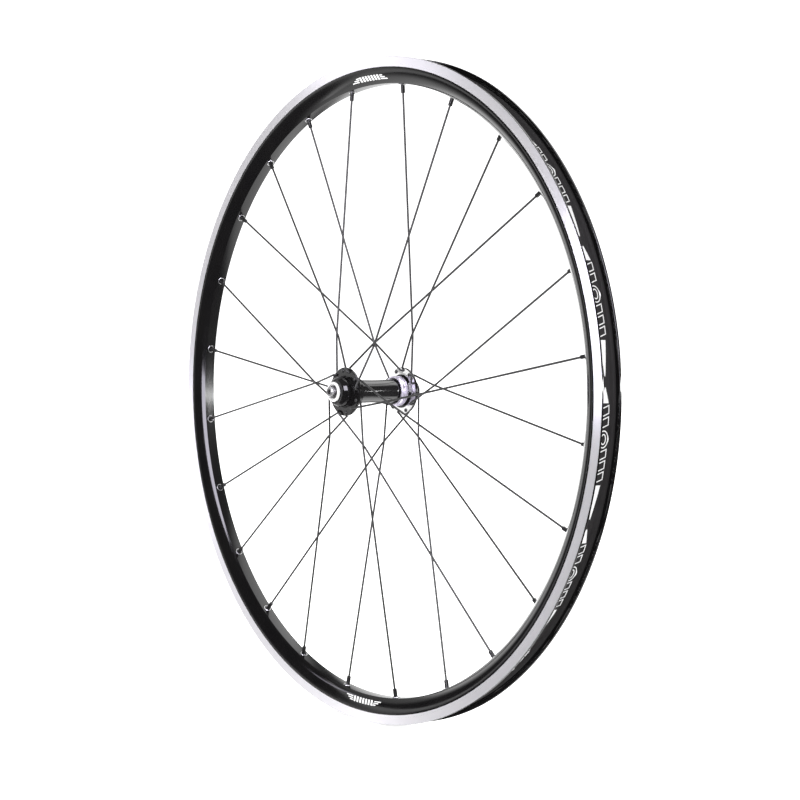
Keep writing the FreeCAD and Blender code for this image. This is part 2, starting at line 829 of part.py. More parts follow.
def build_collar(side):
    """The ring on a flange's spigot, with a shallow groove round its middle."""
    bevel = s.collar_bevel
    middle = (s.collar_inner + s.collar_outer) * 0.5
    depth = s.collar_groove_depth
    keep(turned_body(f"{SIDE_NAMES[side]}_collar_ring", [on_side(side, [
        (s.spigot_radius, s.collar_inner),
        (s.collar_radius - bevel, s.collar_inner),
        (s.collar_radius, s.collar_inner + bevel),
        (s.collar_radius, middle - depth),
        (s.collar_radius - depth, middle),
        (s.collar_radius, middle + depth),
        (s.collar_radius, s.collar_outer - bevel),
        (s.collar_radius - bevel, s.collar_outer),
        (s.spigot_radius, s.collar_outer),
    ])]))


def build_dust_cover(side):
    """The thin lip ring that closes the bearing housing round the end cap's boss."""
    start = s.cover_start
    end = start + s.cover_thickness
    bevel = s.cover_edge_bevel
    keep(turned_body(f"{SIDE_NAMES[side]}_dust_cover", [on_side(side, [
        (s.cover_bore_radius, start),
        (s.bearing_seat_radius, start),
        (s.bearing_seat_radius, end - bevel),
        (s.bearing_seat_radius - bevel, end),
        (s.cover_bore_radius + s.cover_lip_width, end),
        (s.cover_bore_radius, end - s.cover_lip_depth),
    ])]))


# Cartridge bearings.


def race_middle():
    """The distance of a bearing's middle from the middle plane."""
    return s.bearing_seat + s.race_width * 0.5


def race_outline(side, grooved, plain):
    """Section of a race: one face is grooved round the ball circle, and the other has plain edges."""
    centre = race_middle()
    near = centre - s.race_width * 0.5
    far = centre + s.race_width * 0.5
    chamfer = s.race_chamfer
    groove = s.race_groove_radius
    depth = abs(s.ball_circle_radius.value - grooved.value)
    half = math.sqrt(groove.value ** 2 - depth ** 2)
    outward = 1 if plain.value > grooved.value else -1
    return on_side(side, [
        (plain - chamfer * outward, near),
        (plain, near + chamfer),
        (plain, far - chamfer),
        (plain - chamfer * outward, far),
        (grooved, far),
        (grooved, centre + half),
        bend(s.ball_circle_radius + groove * outward, centre),
        (grooved, centre - half),
        (grooved, near),
    ])


def build_races(side):
    """The inner race on the axle and the outer race in the hub."""
    name = SIDE_NAMES[side]
    inner = race_outline(side, s.inner_race_radius, s.inner_race_bore)
    outer = race_outline(side, s.outer_race_bore, s.outer_race_radius)
    keep(turned_body(f"{name}_inner_race", [inner]))
    keep(turned_body(f"{name}_outer_race", [outer]))


def build_shield(side):
    """The thin disc in the outer race that covers the balls on the outer side."""
    outer_end = race_middle() + s.race_width * 0.5
    keep(turned_body(f"{SIDE_NAMES[side]}_bearing_shield", [on_side(side, [
        (s.shield_inner_radius, outer_end - s.shield_thickness),
        (s.outer_race_bore, outer_end - s.shield_thickness),
        (s.outer_race_bore, outer_end),
        (s.shield_inner_radius, outer_end),
    ])]))


def build_ball_set(side):
    """The ring of balls, all of one size and evenly spaced."""
    name = f"{SIDE_NAMES[side]}_balls"
    ball = doc.addObject("Part::Sphere", f"{name}_master")
    bind(ball, "Radius", s.ball_radius)
    start = FreeCAD.Vector(s.ball_circle_radius.value, side * race_middle().value, 0)
    ball.Placement = FreeCAD.Placement(start, FreeCAD.Rotation())
    doc.recompute()
    places = [turn_about_axle(number * 360 / BALL_COUNT) for number in range(BALL_COUNT)]
    keep(group_of_copies(name, ball, places))


def build_cage(side):
    """The ring that spaces the balls, with a round pocket for each."""
    name = f"{SIDE_NAMES[side]}_ball_cage"
    middle = race_middle()
    body = turned_body(name, [on_side(side, [
        (s.cage_inner_radius, middle - s.cage_half_width),
        (s.cage_outer_radius, middle - s.cage_half_width),
        (s.cage_outer_radius, middle + s.cage_half_width),
        (s.cage_inner_radius, middle + s.cage_half_width),
    ])])
    pocket = body.newObject("PartDesign::SubtractiveCylinder", f"{name}_pocket")
    bind(pocket, "Radius", s.cage_pocket_radius)
    bind(pocket, "Height", s.cage_outer_radius - s.cage_inner_radius + 2 * CUT_MARGIN)
    outward = FreeCAD.Rotation(FreeCAD.Vector(0, 0, 1), FreeCAD.Vector(1, 0, 0))
    start = FreeCAD.Vector(s.cage_inner_radius.value - CUT_MARGIN, side * middle.value, 0)
    pocket.Placement = FreeCAD.Placement(start, outward)
    doc.recompute()
    pattern_about(body, f"{name}_pockets", "Y_Axis", pocket, BALL_COUNT)
    keep(body)


# Axle and end caps, which stay still in the fork.


def build_axle():
    """The hollow axle: a thick middle, then a bearing seat, a cap's thread and a fork stub each way."""
    chamfer = s.axle_end_chamfer
    half = [
        (s.axle_middle_radius, 0),
        (s.axle_middle_radius, s.bearing_seat),
        (s.axle_seat_radius, s.bearing_seat),
        (s.axle_seat_radius, s.axle_shoulder),
        (s.axle_thread_radius, s.axle_shoulder),
        (s.axle_thread_radius, s.cap_face),
        (s.axle_end_radius, s.cap_face),
        (s.axle_end_radius, s.axle_end - chamfer),
        (s.axle_end_radius - chamfer, s.axle_end),
        (s.axle_bore_radius, s.axle_end),
    ]
    other_half = [(x, y * -1) for x, y in reversed(half[1:])]
    keep(turned_body("axle", [half + other_half]))


def build_end_cap(side):
    """The round nut whose face meets the fork end, with a ring recess and a boss on the inner race."""
    bevel = s.cap_bevel
    keep(turned_body(f"{SIDE_NAMES[side]}_end_cap", [on_side(side, [
        (s.axle_thread_radius, s.axle_shoulder),
        (s.axle_seat_radius, s.axle_shoulder),
        (s.axle_seat_radius, s.bearing_seat + s.race_width),
        (s.cap_boss_radius, s.bearing_seat + s.race_width),
        (s.cap_boss_radius, s.cap_back),
        (s.cap_radius - bevel, s.cap_back),
        (s.cap_radius, s.cap_back + bevel),
        (s.cap_radius, s.cap_face - bevel),
        (s.cap_radius - bevel, s.cap_face),
        (s.cap_recess_outer_radius, s.cap_face),
        (s.cap_recess_outer_radius, s.cap_face - s.cap_recess_depth),
        (s.cap_recess_inner_radius, s.cap_face - s.cap_recess_depth),
        (s.cap_recess_inner_radius, s.cap_face),
        (s.axle_thread_radius, s.cap_face),
    ])]))


# Checks and writing.


def check_document():
    """Stop if any object failed or any sub-part has no sound shape."""
    doc.recompute()
    for item in doc.Objects:
        if "Invalid" in item.State or "Error" in item.State:
            raise RuntimeError(f"{item.Name} failed: {item.State}")
    for part in finished_parts:
        if part.Shape.isNull() or not part.Shape.isValid():
            raise RuntimeError(f"{part.Label} has no sound shape")


def write_parts():
    """Write each sub-part to a file of its own."""
    os.makedirs("parts", exist_ok=True)
    for part in finished_parts:
        part.Shape.exportStep(f"parts/{part.Label}.step")
        print(f"{part.Label}: {len(part.Shape.Solids)} solid(s), {part.Shape.Volume:.1f} mm3")


build_rim()
build_joint_sleeve()
build_rim_tape()
build_eyelets()
build_nipples()
for spoke in range(SPOKE_COUNT):
    build_spoke(spoke)
build_barrel()
for hub_side in (RIGHT, LEFT):
    build_flange(hub_side)
    build_collar(hub_side)
    build_dust_cover(hub_side)
    build_races(hub_side)
    build_shield(hub_side)
    build_ball_set(hub_side)
    build_cage(hub_side)
    build_end_cap(hub_side)
build_axle()
check_document()
write_parts()
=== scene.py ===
import math

import bpy
from mathutils import Matrix, Vector


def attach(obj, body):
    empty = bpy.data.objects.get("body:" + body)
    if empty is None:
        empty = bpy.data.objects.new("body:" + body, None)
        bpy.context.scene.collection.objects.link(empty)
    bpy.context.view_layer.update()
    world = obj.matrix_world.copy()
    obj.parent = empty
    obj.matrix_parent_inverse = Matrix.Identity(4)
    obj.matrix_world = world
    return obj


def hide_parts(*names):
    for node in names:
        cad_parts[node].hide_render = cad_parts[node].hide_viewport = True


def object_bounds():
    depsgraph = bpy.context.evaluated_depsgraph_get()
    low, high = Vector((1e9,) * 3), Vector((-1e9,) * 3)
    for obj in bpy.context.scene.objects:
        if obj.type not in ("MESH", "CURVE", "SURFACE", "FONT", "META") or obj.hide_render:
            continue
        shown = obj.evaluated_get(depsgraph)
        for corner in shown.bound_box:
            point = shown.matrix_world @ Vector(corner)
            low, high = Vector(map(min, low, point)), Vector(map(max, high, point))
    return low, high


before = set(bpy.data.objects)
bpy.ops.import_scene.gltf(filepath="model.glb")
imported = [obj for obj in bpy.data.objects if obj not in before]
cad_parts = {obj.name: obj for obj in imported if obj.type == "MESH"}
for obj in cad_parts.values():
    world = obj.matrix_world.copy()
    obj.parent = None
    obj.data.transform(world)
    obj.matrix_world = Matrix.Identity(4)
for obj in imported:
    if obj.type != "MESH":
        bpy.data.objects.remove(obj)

# Front road bicycle wheel. Lengths in this script are millimetres until a mesh is made, angles are
# degrees, +Y is the axle's left end and +Z is up. Angles about the axle run from +X towards +Z.

MM = 0.001
RIGHT = -1
LEFT = 1
SIDE_NAMES = ("right", "left")

# Camera, in metres.
CAMERA_PLACE = Vector((1.3189, -1.0297, 0.0261))
CAMERA_TARGET = Vector((0.0395, 0.0, -0.0077))
CAMERA_LENS = 78.4

# Rim section: radii from the axle and half widths from the middle plane.
RIM_RADIUS = 316.5
RIM_HALF_WIDTH = 11.8
MOUTH_HALF_WIDTH = 9.5
HOOK_FOOT_RADIUS = 314.2
BEAD_WALL_TOP_RADIUS = 313.2
BEAD_WALL_HALF_WIDTH = 10.2
BEAD_SEAT_RADIUS = 311.0
SHELF_RADIUS = 310.8
SHELF_HALF_WIDTH = 7.6
WELL_RADIUS = 308.0
WELL_HALF_WIDTH = 5.2
TRACK_HALF_WIDTH = 11.72
TRACK_FOOT_RADIUS = 306.9
TRACK_STEP = 0.25
WALL_BEND = (300.0, 10.43)
WALL_CORNER = (292.1, 5.4)
WALL_STEPS = 18
CROWN_RADIUS = 291.8
CROWN_STEPS = 12
RIM_SEGMENTS = 288
BED_WALL = 1.4
CAVITY_TOP = (309.0, 9.4)
CAVITY_SIDE = (306.0, 10.28)
CAVITY_BEND = (300.0, 8.8)
CAVITY_CORNER = (295.4, 5.6)
CAVITY_FLOOR = 293.8
CAVITY_FLOOR_HALF_WIDTH = 2.4
CAVITY_STEPS = 8

# How a face of the cut rim is told to be on a track or in the hollow.
TRACK_MARGIN = 0.03
CAVITY_MARGIN = 0.1
WALL_SEARCH = 0.5
SKIN_DEPTH = 0.8

# Tape in the tyre channel: it starts to rise a little before the well's edge, and its threads cross.
TAPE_THICKNESS = 0.6
TAPE_HALF_WIDTH = 10.05
TAPE_BED_GAP = 0.05
TAPE_RISE_LEAD = 0.3
TAPE_STEPS = 40
WARP_PITCH = 0.6
WEFT_PITCH = 0.8

# Holes on radial lines: radii, and where each drill starts and ends, measured from the axle.
DRILL_TIP_RADIUS = 0.001
DRILL_START = 288
DRILL_END = 314
EYELET_SEAT_RADIUS = 3.7
SPOKE_HOLE_RADIUS = 3.15
SPOKE_HOLE_END = 298
ACCESS_HOLE_RADIUS = 4.5
ACCESS_HOLE_START = 304
ACCESS_HOLE_END = 313
VALVE_HOLE_RADIUS = 3.25

# Eyelets: radii, and places measured from the axle.
EYELET_SEAT = 292.3
EYELET_LIP = 291.3
EYELET_TOP = 295.1
EYELET_RADIUS = 3.6
EYELET_MOUTH = 2.8
EYELET_THROAT = 2.4
EYELET_TUBE = 3.1
EYELET_FLARE = 0.3
EYELET_FLARE_HEIGHT = 0.5
EYELET_MOUTH_DEPTH = 0.3
EYELET_LIP_STEPS = 8
EYELET_SEGMENTS = 40

# Nipples: heights are measured outwards from the pivot, the centre of the nipple's round seat.
NIPPLE_PIVOT = 296.36
NIPPLE_HEAD_RADIUS = 2.7
NIPPLE_BODY_RADIUS = 1.95
NIPPLE_FOOT = 12.8
NIPPLE_FLAT_LENGTH = 6.2
NIPPLE_FLAT_HALF_WIDTH = 1.65
NIPPLE_BORE = 1.02
NIPPLE_BORE_DEPTH = 1.5
NIPPLE_FOOT_EDGE = 0.5
NIPPLE_CORNER_EDGE = 0.15
NIPPLE_EDGE_HEIGHT = 0.3
NIPPLE_SHOULDER = (0.05, 0.25)
NIPPLE_BOWL_MIDDLE = 1.1
NIPPLE_BOWL_STEPS = 5
NIPPLE_RIM_HEIGHT = 0.7
NIPPLE_TOP_HEIGHT = 1.2
NIPPLE_TOP_RADIUS = 2.1
NIPPLE_SLOT_RADIUS = 0.8
NIPPLE_SIDES = 32

# Spokes and their lacing. The valve is half way between two spokes.
SPOKE_COUNT = 24
SPOKE_STEP = 360 / SPOKE_COUNT
FIRST_SPOKE_ANGLE = 81.6
VALVE_ANGLE = FIRST_SPOKE_ANGLE - SPOKE_STEP * 12.5
LACING_ANGLE = 60.0
HOLE_CIRCLE = 20.0
FLANGE_INNER = 33.0
FLANGE_OUTER = 36.0
FLANGE_NECK = 16.3
# Radius inside which the end caps carry painted shade for the recess round the axle's end.
CAP_RECESS_SHADE_RADIUS = 6.2
SPOKE_RADIUS = 1.0
SPOKE_HEAD_RADIUS = 1.85
SPOKE_HEAD_HEIGHT = 1.1

# The upset head: (share of its height, radius) down its dome, then (height, radius) at the flange.
SPOKE_HEAD_DOME = ((1.0, 0.5), (0.94, 1.0), (0.75, 1.45), (0.45, 1.78), (0.15, SPOKE_HEAD_RADIUS))
SPOKE_HEAD_SEAT = (0.02, SPOKE_HEAD_RADIUS - 0.05)

# The wire's bends: the elbow at the flange, and the crossing where one spoke passes over another.
BEND_STEPS = 8
WIRE_SIDES = 20
SHORTEST_RUN = 1e-6
ELBOW_RADIUS = 2.3
ELBOW_GAP = 0.1
WEAVE_RADIUS = 30.0
WEAVE_SPACING = 2.25
WEAVE_OFFSET = 28.3
SPOKE_END_GAP = 0.6

# Tints for shades of grey.
NEUTRAL = (1.0, 1.0, 1.0)
VIOLET = (0.96, 0.9, 1.08)
PALE_VIOLET = (0.99, 0.97, 1.02)
WARM = (1.05, 0.98, 1.0)
NYLON_DARK = (1.0, 0.96, 0.85)
NYLON_PALE = (1.0, 0.96, 0.87)

# Studio: the brightness of the surroundings, and of what reflections see between the glows. The
# power is in watts for each square metre of softbox at a brightness of 1.
ROOM_LIGHT = 1.6
DIM_LIGHT = 0.035
SOFTBOX_POWER = 4
WHITE_LIGHT = (1.0, 1.0, 1.0)
LILAC_LIGHT = (0.9, 0.87, 1.0)
FLOOR_HALF_SIZE = 40.0
FLOOR_GLOW = 0.8

# Printed marks: angles of the walls' marks, their place as a share of the wall's section, and the
# most that a print's points are apart. The tape's first repeat starts at a share of a repeat.
MARK_ANGLES = (89.0, -91.0)
MARK_HEIGHT_SHARE = 0.56
WALL_LENGTH = 16.0
WALL_FINE_STEPS = 60
PRINT_STEP = 3.0
TAPE_LIFT = 0.06
TAPE_LINE = 0.9
TAPE_REPEATS = 16
TAPE_FIRST_REPEAT = 3 / 22.5

# Edges sharper than these angles aren't smoothed.
SHARP_ANGLE = 30
RIM_SHARP_ANGLE = 12

cad_low, cad_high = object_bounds()


# Points and outlines.


def around(radius, angle, across=0.0):
    """The point at a radius from the axle, an angle about it and a distance along it."""
    turn = math.radians(angle)
    return Vector((radius * math.cos(turn), across, radius * math.sin(turn)))


def arc(start, middle, end, steps):
    """Points of the circle through three points, without its end."""
    (ax, ay), (bx, by), (cx, cy) = start, middle, end
    scale = 2 * (ax * (by - cy) + bx * (cy - ay) + cx * (ay - by))
    a_square = ax * ax + ay * ay
    b_square = bx * bx + by * by
    c_square = cx * cx + cy * cy
    centre_x = (a_square * (by - cy) + b_square * (cy - ay) + c_square * (ay - by)) / scale
    centre_y = (a_square * (cx - bx) + b_square * (ax - cx) + c_square * (bx - ax)) / scale
    radius = math.hypot(ax - centre_x, ay - centre_y)
    first = math.atan2(ay - centre_y, ax - centre_x)
    halfway = math.remainder(math.atan2(by - centre_y, bx - centre_x) - first, math.tau)
    rest = math.remainder(math.atan2(cy - centre_y, cx - centre_x) - first - halfway, math.tau)
    sweep = halfway + rest
    angles = [first + sweep * step / steps for step in range(steps)]
    return [(centre_x + radius * math.cos(turn), centre_y + radius * math.sin(turn)) for turn in angles]


def rounded(outline, steps=8):
    """A closed outline of (radius, across, rounding) corners, with each rounding as an arc."""
    points = []
    count = len(outline)
    for index, (x, y, rounding) in enumerate(outline):
        corner = Vector((x, y))
        if rounding == 0:
            points.append((x, y))
            continue
        before = Vector(outline[index - 1][:2])
        after = Vector(outline[(index + 1) % count][:2])
        into = (corner - before).normalized()
        away = (after - corner).normalized()
        setback = rounding * math.tan(into.angle(away) / 2)
        start = corner - into * setback
        end = corner + away * setback
        inward = (away - into).normalized()
        middle = corner + inward * rounding * (1 / math.cos(into.angle(away) / 2) - 1)
        points += arc(start, middle, end, steps)
        points.append((end.x, end.y))
    return points


def plain(points):
    """The points as corners without rounding."""
    return [(x, y, 0) for x, y in points]


# Meshes and pieces.


class Shape:
    """Vertices in millimetres and faces, gathered from several solids into one mesh."""

    def __init__(self):
        self.vertices = []
        self.faces = []

    def add(self, vertices, faces):
        """Take in one more set of vertices and the faces between them."""
        first = len(self.vertices)
        self.vertices += vertices
        self.faces += [[first + number for number in face] for face in faces]

    def add_rings(self, rings, closed_along=False, capped=False):
        """Faces between rings of equally many points, each ring joined to the next."""
        size = len(rings[0])
        count = len(rings)
        spans = count if closed_along else count - 1
        faces = []
        for span in range(spans):
            here = span * size
            there = (span + 1) % count * size
            for step in range(size):
                after = (step + 1) % size
                faces.append([here + step, here + after, there + after, there + step])
        if capped:
            faces.append(list(reversed(range(size))))
            faces.append([(count - 1) * size + step for step in range(size)])
        self.add([point for ring in rings for point in ring], faces)

    def add_turned(self, outline, segments, place=Matrix.Identity(4), hollow=False):
        """A closed outline of (radius, across) points turned about the place's own Y axis."""
        if hollow:
            outline = list(reversed(outline))
        rings = []
        for segment in range(segments):
            turn = 360 * segment / segments
            rings.append([place @ around(radius, turn, across) for radius, across in outline])
        self.add_rings(rings, closed_along=True)

    def mesh(self, name):
        """The gathered solids as a mesh in metres."""
        mesh = bpy.data.meshes.new(name)
        mesh.from_pydata([point * MM for point in self.vertices], [], self.faces)
        mesh.validate()
        return mesh


def add_object(name, mesh):
    """A new object that shows the mesh."""
    made = bpy.data.objects.new(name, mesh)
    bpy.context.scene.collection.objects.link(made)
    return made


def cut(mesh, tool_mesh):
    """The mesh with the tool's solids taken out of it."""
    work = add_object("work", mesh)
    tool = add_object("tool", tool_mesh)
    cutter = work.modifiers.new("cut", "BOOLEAN")
    cutter.operation = "DIFFERENCE"
    cutter.solver = "EXACT"
    cutter.object = tool
    graph = bpy.context.evaluated_depsgraph_get()
    result = bpy.data.meshes.new_from_object(work.evaluated_get(graph))
    bpy.data.objects.remove(work)
    bpy.data.objects.remove(tool)
    return result


def finish_piece(name, mesh, materials, body, replaced=(), sharp_angle=SHARP_ANGLE):
    """Shade the mesh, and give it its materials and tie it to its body."""
    mesh.name = name
    piece = add_object(name, mesh)
    for material in materials:
        mesh.materials.append(material)
    mesh.shade_smooth()
    mesh.set_sharp_from_angle(angle=math.radians(sharp_angle))
    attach(piece, body)
    if replaced:
        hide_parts(*replaced)
    return piece


# Rim and tape.


def wall_points(steps):
    """The side wall's curved section from the brake track's foot to the spoke side's corner."""
    return arc((TRACK_FOOT_RADIUS, RIM_HALF_WIDTH), WALL_BEND, WALL_CORNER, steps)


def rim_outline():
    """The rim's outer section, with small roundings on the edges that the tyre and hand meet."""
    crown = arc(WALL_CORNER, (CROWN_RADIUS, 0), (WALL_CORNER[0], -WALL_CORNER[1]), CROWN_STEPS)
    half = [
        (WELL_RADIUS, WELL_HALF_WIDTH, 0.8),
        (SHELF_RADIUS, SHELF_HALF_WIDTH, 0.6),
        (BEAD_SEAT_RADIUS, BEAD_WALL_HALF_WIDTH, 0.4),
        (BEAD_WALL_TOP_RADIUS, BEAD_WALL_HALF_WIDTH, 0.3),
        (HOOK_FOOT_RADIUS, MOUTH_HALF_WIDTH, 0.3),
        (RIM_RADIUS, MOUTH_HALF_WIDTH, 0.5),
        (RIM_RADIUS, TRACK_HALF_WIDTH, 0.35),
        (TRACK_FOOT_RADIUS + TRACK_STEP, TRACK_HALF_WIDTH, 0),
    ]
    half += plain(wall_points(WALL_STEPS))
    other_half = [(x, -y, rounding) for x, y, rounding in reversed(half)]
    return rounded(half + plain(crown) + [(WALL_CORNER[0], -WALL_CORNER[1], 0)] + other_half)


def cavity_outline():
    """The hollow inside the rim."""
    half = [
        (WELL_RADIUS - BED_WALL, WELL_HALF_WIDTH),
        CAVITY_TOP,
        *arc(CAVITY_SIDE, CAVITY_BEND, CAVITY_CORNER, CAVITY_STEPS),
        CAVITY_CORNER,
        (CAVITY_FLOOR, CAVITY_FLOOR_HALF_WIDTH),
    ]
    return half + [(x, -y) for x, y in reversed(half)]


def radial_place(angle):
    """A place whose own Y axis points straight out from the axle."""
    outward = around(1, angle)
    along = Vector((0, 1, 0))
    across = outward.cross(along)
    return Matrix((across, outward, along)).transposed().to_4x4()


def add_drill(shape, angle, steps, segments=48):
    """A stepped drill on a radial line: (radius, distance from the axle) corners in order."""
    outline = [(DRILL_TIP_RADIUS, steps[0][1])] + steps + [(DRILL_TIP_RADIUS, steps[-1][1])]
    shape.add_turned(list(reversed(outline)), segments, radial_place(angle))


def spoke_angle(index):
    """The angle of a spoke's nipple about the axle."""
    return FIRST_SPOKE_ANGLE - SPOKE_STEP * index


def add_rim_drills(shape):
    """The drills for the eyelet seats, the spoke holes, the access holes and the valve hole."""
    spoke_hole = [
        (EYELET_SEAT_RADIUS, DRILL_START),
        (EYELET_SEAT_RADIUS, EYELET_SEAT),
        (SPOKE_HOLE_RADIUS, EYELET_SEAT),
        (SPOKE_HOLE_RADIUS, SPOKE_HOLE_END),
    ]
    access_hole = [(ACCESS_HOLE_RADIUS, ACCESS_HOLE_START), (ACCESS_HOLE_RADIUS, ACCESS_HOLE_END)]
    for index in range(SPOKE_COUNT):
        add_drill(shape, spoke_angle(index), spoke_hole)
        add_drill(shape, spoke_angle(index), access_hole)
    add_drill(shape, VALVE_ANGLE, [(VALVE_HOLE_RADIUS, DRILL_START), (VALVE_HOLE_RADIUS, DRILL_END)])


def is_on_track(radius, across):
    """Whether a point of the rim's surface lies on a machined brake track."""
    return abs(across) > TRACK_HALF_WIDTH - TRACK_MARGIN and radius > TRACK_FOOT_RADIUS + TRACK_STEP


def is_in_cavity(radius, across, wall):
    """Whether a point of the section lies in the hollow, well under the rim's outer skin."""
    if not CAVITY_FLOOR - CAVITY_MARGIN < radius < WELL_RADIUS - BED_WALL / 2:
        return False
    skin = max(y for x, y in wall if x < radius + WALL_SEARCH)
    return abs(across) < skin - SKIN_DEPTH


def make_rim(black, track, inside):
    """The hollow rim with machined tracks, eyelet seats, access holes and a valve hole."""
    body = Shape()
    body.add_turned(rim_outline(), RIM_SEGMENTS)
    body.add_turned(cavity_outline(), RIM_SEGMENTS, hollow=True)
    drills = Shape()
    add_rim_drills(drills)
    mesh = cut(body.mesh("rim_body"), drills.mesh("rim_drills"))
    materials = [black, track, inside]
    wall = wall_points(WALL_STEPS)
    for face in mesh.polygons:
        centre = face.center / MM
        radius = math.hypot(centre.x, centre.z)
        if is_on_track(radius, centre.y):
            face.material_index = materials.index(track)
        elif is_in_cavity(radius, centre.y, wall):
            face.material_index = materials.index(inside)
    return finish_piece("rim_shell", mesh, materials, "wheel", ["rim"], RIM_SHARP_ANGLE)


def tape_radius(across):
    """How far the tape's face is from the axle at a distance from the middle plane."""
    across = abs(across)
    share = (across - WELL_HALF_WIDTH + TAPE_RISE_LEAD) / (SHELF_HALF_WIDTH - WELL_HALF_WIDTH)
    share = min(1.0, max(0.0, share))
    eased = share * share * (3 - 2 * share)
    return WELL_RADIUS + TAPE_THICKNESS + (SHELF_RADIUS - WELL_RADIUS) * eased


def make_tape(cloth):
    """The tape that lines the tyre channel, moulded down into the well."""
    stations = [TAPE_HALF_WIDTH * (2 * number / TAPE_STEPS - 1) for number in range(TAPE_STEPS + 1)]
    face = [(tape_radius(across), across) for across in stations]
    thickness = TAPE_THICKNESS - TAPE_BED_GAP
    back = [(tape_radius(across) - thickness, across) for across in reversed(stations)]
    body = Shape()
    body.add_turned(list(reversed(face + back)), RIM_SEGMENTS)
    drills = Shape()
    valve_hole = [(VALVE_HOLE_RADIUS, ACCESS_HOLE_START), (VALVE_HOLE_RADIUS, DRILL_END)]
    add_drill(drills, VALVE_ANGLE, valve_hole)
    mesh = cut(body.mesh("tape_body"), drills.mesh("tape_drill"))
    finish_piece("tape_lining", mesh, [cloth], "wheel", ["rim_tape"])


# Eyelets, nipples and spokes.


def make_eyelets(metal):
    """Plated ferrules with rolled lips, one in each spoke hole."""
    lip_middle = ((EYELET_MOUTH + EYELET_RADIUS) / 2, EYELET_LIP)
    mouth = (EYELET_MOUTH, EYELET_SEAT - EYELET_MOUTH_DEPTH)
    outline = [
        (EYELET_THROAT, EYELET_TOP),
        (EYELET_TUBE + EYELET_FLARE, EYELET_TOP),
        (EYELET_TUBE + EYELET_FLARE, EYELET_TOP - EYELET_FLARE_HEIGHT),
        (EYELET_TUBE, EYELET_TOP - EYELET_FLARE_HEIGHT),
        (EYELET_TUBE, EYELET_SEAT),
        *arc((EYELET_RADIUS, EYELET_SEAT), lip_middle, mouth, EYELET_LIP_STEPS),
        mouth,
    ]
    shape = Shape()
    for index in range(SPOKE_COUNT):
        shape.add_turned(list(reversed(outline)), EYELET_SEGMENTS, radial_place(spoke_angle(index)))
    finish_piece("eyelet_rings", shape.mesh("eyelets"), [metal], "wheel", ["eyelets"])


def is_on_right(index):
    """Odd spokes go to the right flange and even ones to the left."""
    return index % 2 == 1


def hole_direction(index):
    """Whether the spoke's flange hole lies ahead of its nipple (1) or behind it (-1)."""
    return 1 if (index // 2) % 2 == 1 else -1


def runs_outside(index):
    """Whether the spoke leaves on the flange's outer face, with its head on the inner one."""
    return is_on_right(index) != (hole_direction(index) == 1)


def spoke_corners(index):
    """The places of the spoke's head, elbow, crossing and nipple pivot."""
    side = RIGHT if is_on_right(index) else LEFT
    outward = 1 if runs_outside(index) else -1
    hole_angle = spoke_angle(index) + LACING_ANGLE * hole_direction(index)
    hole = around(HOLE_CIRCLE, hole_angle)
    nipple = around(NIPPLE_PIVOT, spoke_angle(index))
    along = (nipple - hole).normalized()
    from_axle = abs(hole.cross(along).y)
    tilt = math.asin(from_axle / NIPPLE_PIVOT) + math.radians(SPOKE_STEP)
    crossing = from_axle / math.tan(tilt) - hole.dot(along)
    head_face = FLANGE_INNER if outward == 1 else FLANGE_OUTER
    leaving_face = FLANGE_OUTER + ELBOW_GAP if outward == 1 else FLANGE_INNER - ELBOW_GAP
    crossing_across = WEAVE_OFFSET - outward * WEAVE_SPACING / 2
    fall = (leaving_face + outward * ELBOW_RADIUS - crossing_across) / crossing
    turn = math.radians(90) + outward * math.atan(fall)
    elbow_across = leaving_face + outward * ELBOW_RADIUS * math.tan(turn / 2)
    axle = Vector((0, side, 0))
    return [
        hole + axle * head_face,
        hole + axle * elbow_across,
        hole + along * crossing + axle * crossing_across,
        nipple,
    ]


def bent_route(corners, radii, steps):
    """The corners' straight runs with a tangent arc of each radius at each inner corner."""
    route = [corners[0]]
    for index, radius in enumerate(radii, start=1):
        corner = corners[index]
        into = (corner - corners[index - 1]).normalized()
        away = (corners[index + 1] - corner).normalized()
        half_turn = into.angle(away) / 2
        centre = corner + (away - into).normalized() * radius / math.cos(half_turn)
        start = corner - into * radius * math.tan(half_turn) - centre
        end = corner + away * radius * math.tan(half_turn) - centre
        for step in range(steps + 1):
            route.append(centre + start.slerp(end, step / steps).normalized() * radius)
    route.append(corners[-1])
    return route


def add_wire(shape, route, radii, sides=WIRE_SIDES):
    """A round wire along a flat route, with its own radius at each point of the route."""
    bend = (route[1] - route[0]).cross(route[-1] - route[0]).normalized()
    rings = []
    for index, (point, radius) in enumerate(zip(route, radii)):
        before = route[max(index - 1, 0)]
        after = route[min(index + 1, len(route) - 1)]
        if (after - before).length < SHORTEST_RUN:
            after = route[index + 2]
        across = bend.cross((after - before).normalized())
        ring = []
        for side in range(sides):
            turn = math.tau * side / sides
            ring.append(point + (bend * math.cos(turn) + across * math.sin(turn)) * radius)
        rings.append(ring)
    shape.add_rings(rings, capped=True)


def make_spoke(index, steel):
    """One spoke: an upset head, an elbow round the flange and a shank bent over its neighbour."""
    corners = spoke_corners(index)
    end = corners[-1] + (corners[-2] - corners[-1]).normalized() * SPOKE_END_GAP
    route = bent_route(corners[:-1] + [end], [ELBOW_RADIUS, WEAVE_RADIUS], BEND_STEPS)
    into_flange = (route[1] - route[0]).normalized()
    head = [(SPOKE_HEAD_HEIGHT * share, radius) for share, radius in SPOKE_HEAD_DOME] + [SPOKE_HEAD_SEAT]
    head_points = [route[0] - into_flange * height for height, _ in head]
    radii = [radius for _, radius in head] + [SPOKE_RADIUS] * len(route)
    shape = Shape()
    add_wire(shape, head_points + route, radii)
    name = f"spoke_{index + 1:02d}"
    finish_piece(f"{name}_wire", shape.mesh(name), [steel], "wheel", [name])


